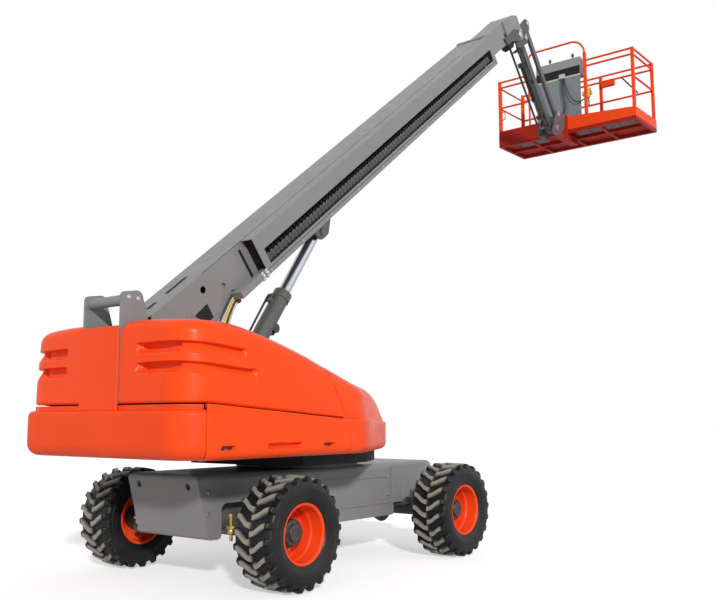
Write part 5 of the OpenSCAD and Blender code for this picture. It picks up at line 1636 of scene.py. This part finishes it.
@dataclass(frozen=True)
class Studio:
    """Camera, lamps and a pale floor."""

    eye: tuple[float, float, float] = (-6.845, -6.284, 1.432)
    yaw: float = 38.64
    pitch: float = 7.56
    roll: float = -0.18
    focal_px: float = 887.0
    sensor: float = 36.0
    floor_half: float = 60.0
    floor_glow: float = 0.47
    sky_light: float = 0.32
    lamps: tuple[tuple[str, float, float, float, float], ...] = (("sun", 2.5, 4.0, 229.0, 67.0),
                                                                 ("fill", 0.2, 40.0, 300.0, 65.0))

    def camera(self) -> None:
        """Sets the camera: forward along yaw and pitch, level but for the roll."""
        yaw, pitch, roll = (math.radians(v) for v in (self.yaw, self.pitch, self.roll))
        ahead = np.array([math.cos(pitch) * math.cos(yaw), math.cos(pitch) * math.sin(yaw), math.sin(pitch)])
        right = np.array([math.sin(yaw), -math.cos(yaw), 0.0])
        up = np.cross(right, ahead)
        right, up = (math.cos(roll) * right + math.sin(roll) * up, math.cos(roll) * up - math.sin(roll) * right)
        data = bpy.data.cameras.new("camera")
        data.sensor_fit, data.sensor_width = "HORIZONTAL", self.sensor
        data.lens = self.focal_px / IMAGE_W * self.sensor
        data.clip_end = 200.0
        camera = bpy.data.objects.new("camera", data)
        bpy.context.scene.collection.objects.link(camera)
        m = np.eye(4)
        m[:3, 0], m[:3, 1], m[:3, 2], m[:3, 3] = right, up, -ahead, self.eye
        camera.matrix_world = Matrix(m.tolist())
        bpy.context.scene.camera = camera

    @staticmethod
    def seen(tree: bpy.types.NodeTree) -> bpy.types.NodeSocket:
        """1 for rays from the camera and for those of its reflections and of glass, and 0 for the others.

        Args:
            tree: the node tree of a material or the world.

        Returns:
            The value's socket.
        """
        path = tree.nodes.new("ShaderNodeLightPath")
        value = path.outputs["Is Camera Ray"]
        for ray in ("Is Glossy Ray", "Is Transmission Ray"):
            either = tree.nodes.new("ShaderNodeMath")
            either.operation = "MAXIMUM"
            tree.links.new(value, either.inputs[0])
            tree.links.new(path.outputs[ray], either.inputs[1])
            value = either.outputs["Value"]
        return value

    def floor(self) -> None:
        """A wide pale floor that looks white to the camera and keeps the shadow."""
        mesh = bpy.data.meshes.new("floor")
        half = self.floor_half
        mesh.from_pydata([(-half, -half, 0), (half, -half, 0), (half, half, 0), (-half, half, 0)], [], [[0, 1, 2, 3]])
        mat = bpy.data.materials.new("floor_paint")
        mat.use_nodes = True
        tree = mat.node_tree
        bsdf = tree.nodes["Principled BSDF"]
        bsdf.inputs["Base Color"].default_value = (0.86, 0.86, 0.86, 1)
        bsdf.inputs["Roughness"].default_value = 0.9
        bsdf.inputs["Emission Color"].default_value = (1, 1, 1, 1)
        path = tree.nodes.new("ShaderNodeLightPath")
        glow = tree.nodes.new("ShaderNodeMath")
        glow.operation = "MULTIPLY"
        glow.inputs[1].default_value = self.floor_glow
        tree.links.new(path.outputs["Is Camera Ray"], glow.inputs[0])
        tree.links.new(glow.outputs["Value"], bsdf.inputs["Emission Strength"])
        mesh.materials.append(mat)
        floor = bpy.data.objects.new("floor", mesh)
        bpy.context.scene.collection.objects.link(floor)

    def light(self) -> None:
        """An even sky, white to the camera, a soft sun from behind the camera's left shoulder and a weak fill."""
        world = bpy.data.worlds.new("sky")
        bpy.context.scene.world = world
        world.use_nodes = True
        tree = world.node_tree
        back = tree.nodes["Background"]
        back.inputs["Color"].default_value = (1, 1, 1, 1)
        level = tree.nodes.new("ShaderNodeMapRange")
        level.inputs["To Min"].default_value = self.sky_light
        level.inputs["To Max"].default_value = 1.0
        tree.links.new(self.seen(tree), level.inputs["Value"])
        tree.links.new(level.outputs["Result"], back.inputs["Strength"])
        for name, strength, size, yaw, tilt in self.lamps:
            lamp = bpy.data.lights.new(name, "SUN")
            lamp.energy, lamp.angle = strength, math.radians(size)
            holder = bpy.data.objects.new(name, lamp)
            holder.rotation_euler = (math.radians(tilt), 0.0, math.radians(yaw + 90.0))
            bpy.context.scene.collection.objects.link(holder)

    def build(self) -> None:
        """Makes the stage."""
        self.camera()
        self.floor()
        self.light()


def main() -> None:
    """Builds the boom lift's looks round the frame, piece by piece."""
    logging.basicConfig(level=logging.INFO, format="%(message)s")
    bpy.context.scene.view_settings.view_transform = "Standard"
    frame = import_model()
    Studio().build()
    dress_nodes(frame["nodes"])
    for end, end_name in ((-1, "tail"), (1, "front")):
        for side, side_name in ((NEAR, "near"), (FAR, "far")):
            Wheel(end, side, f"{end_name}_{side_name}").build()
    Covers().build()
    for fittings in (BoomFittings(), LiftFittings(), JibFittings(), PlatformFittings(), ChassisFittings(), Machinery()):
        fittings.build()


if __name__ == "__main__":
    for thing in list(bpy.data.objects):
        bpy.data.objects.remove(thing)
    main()
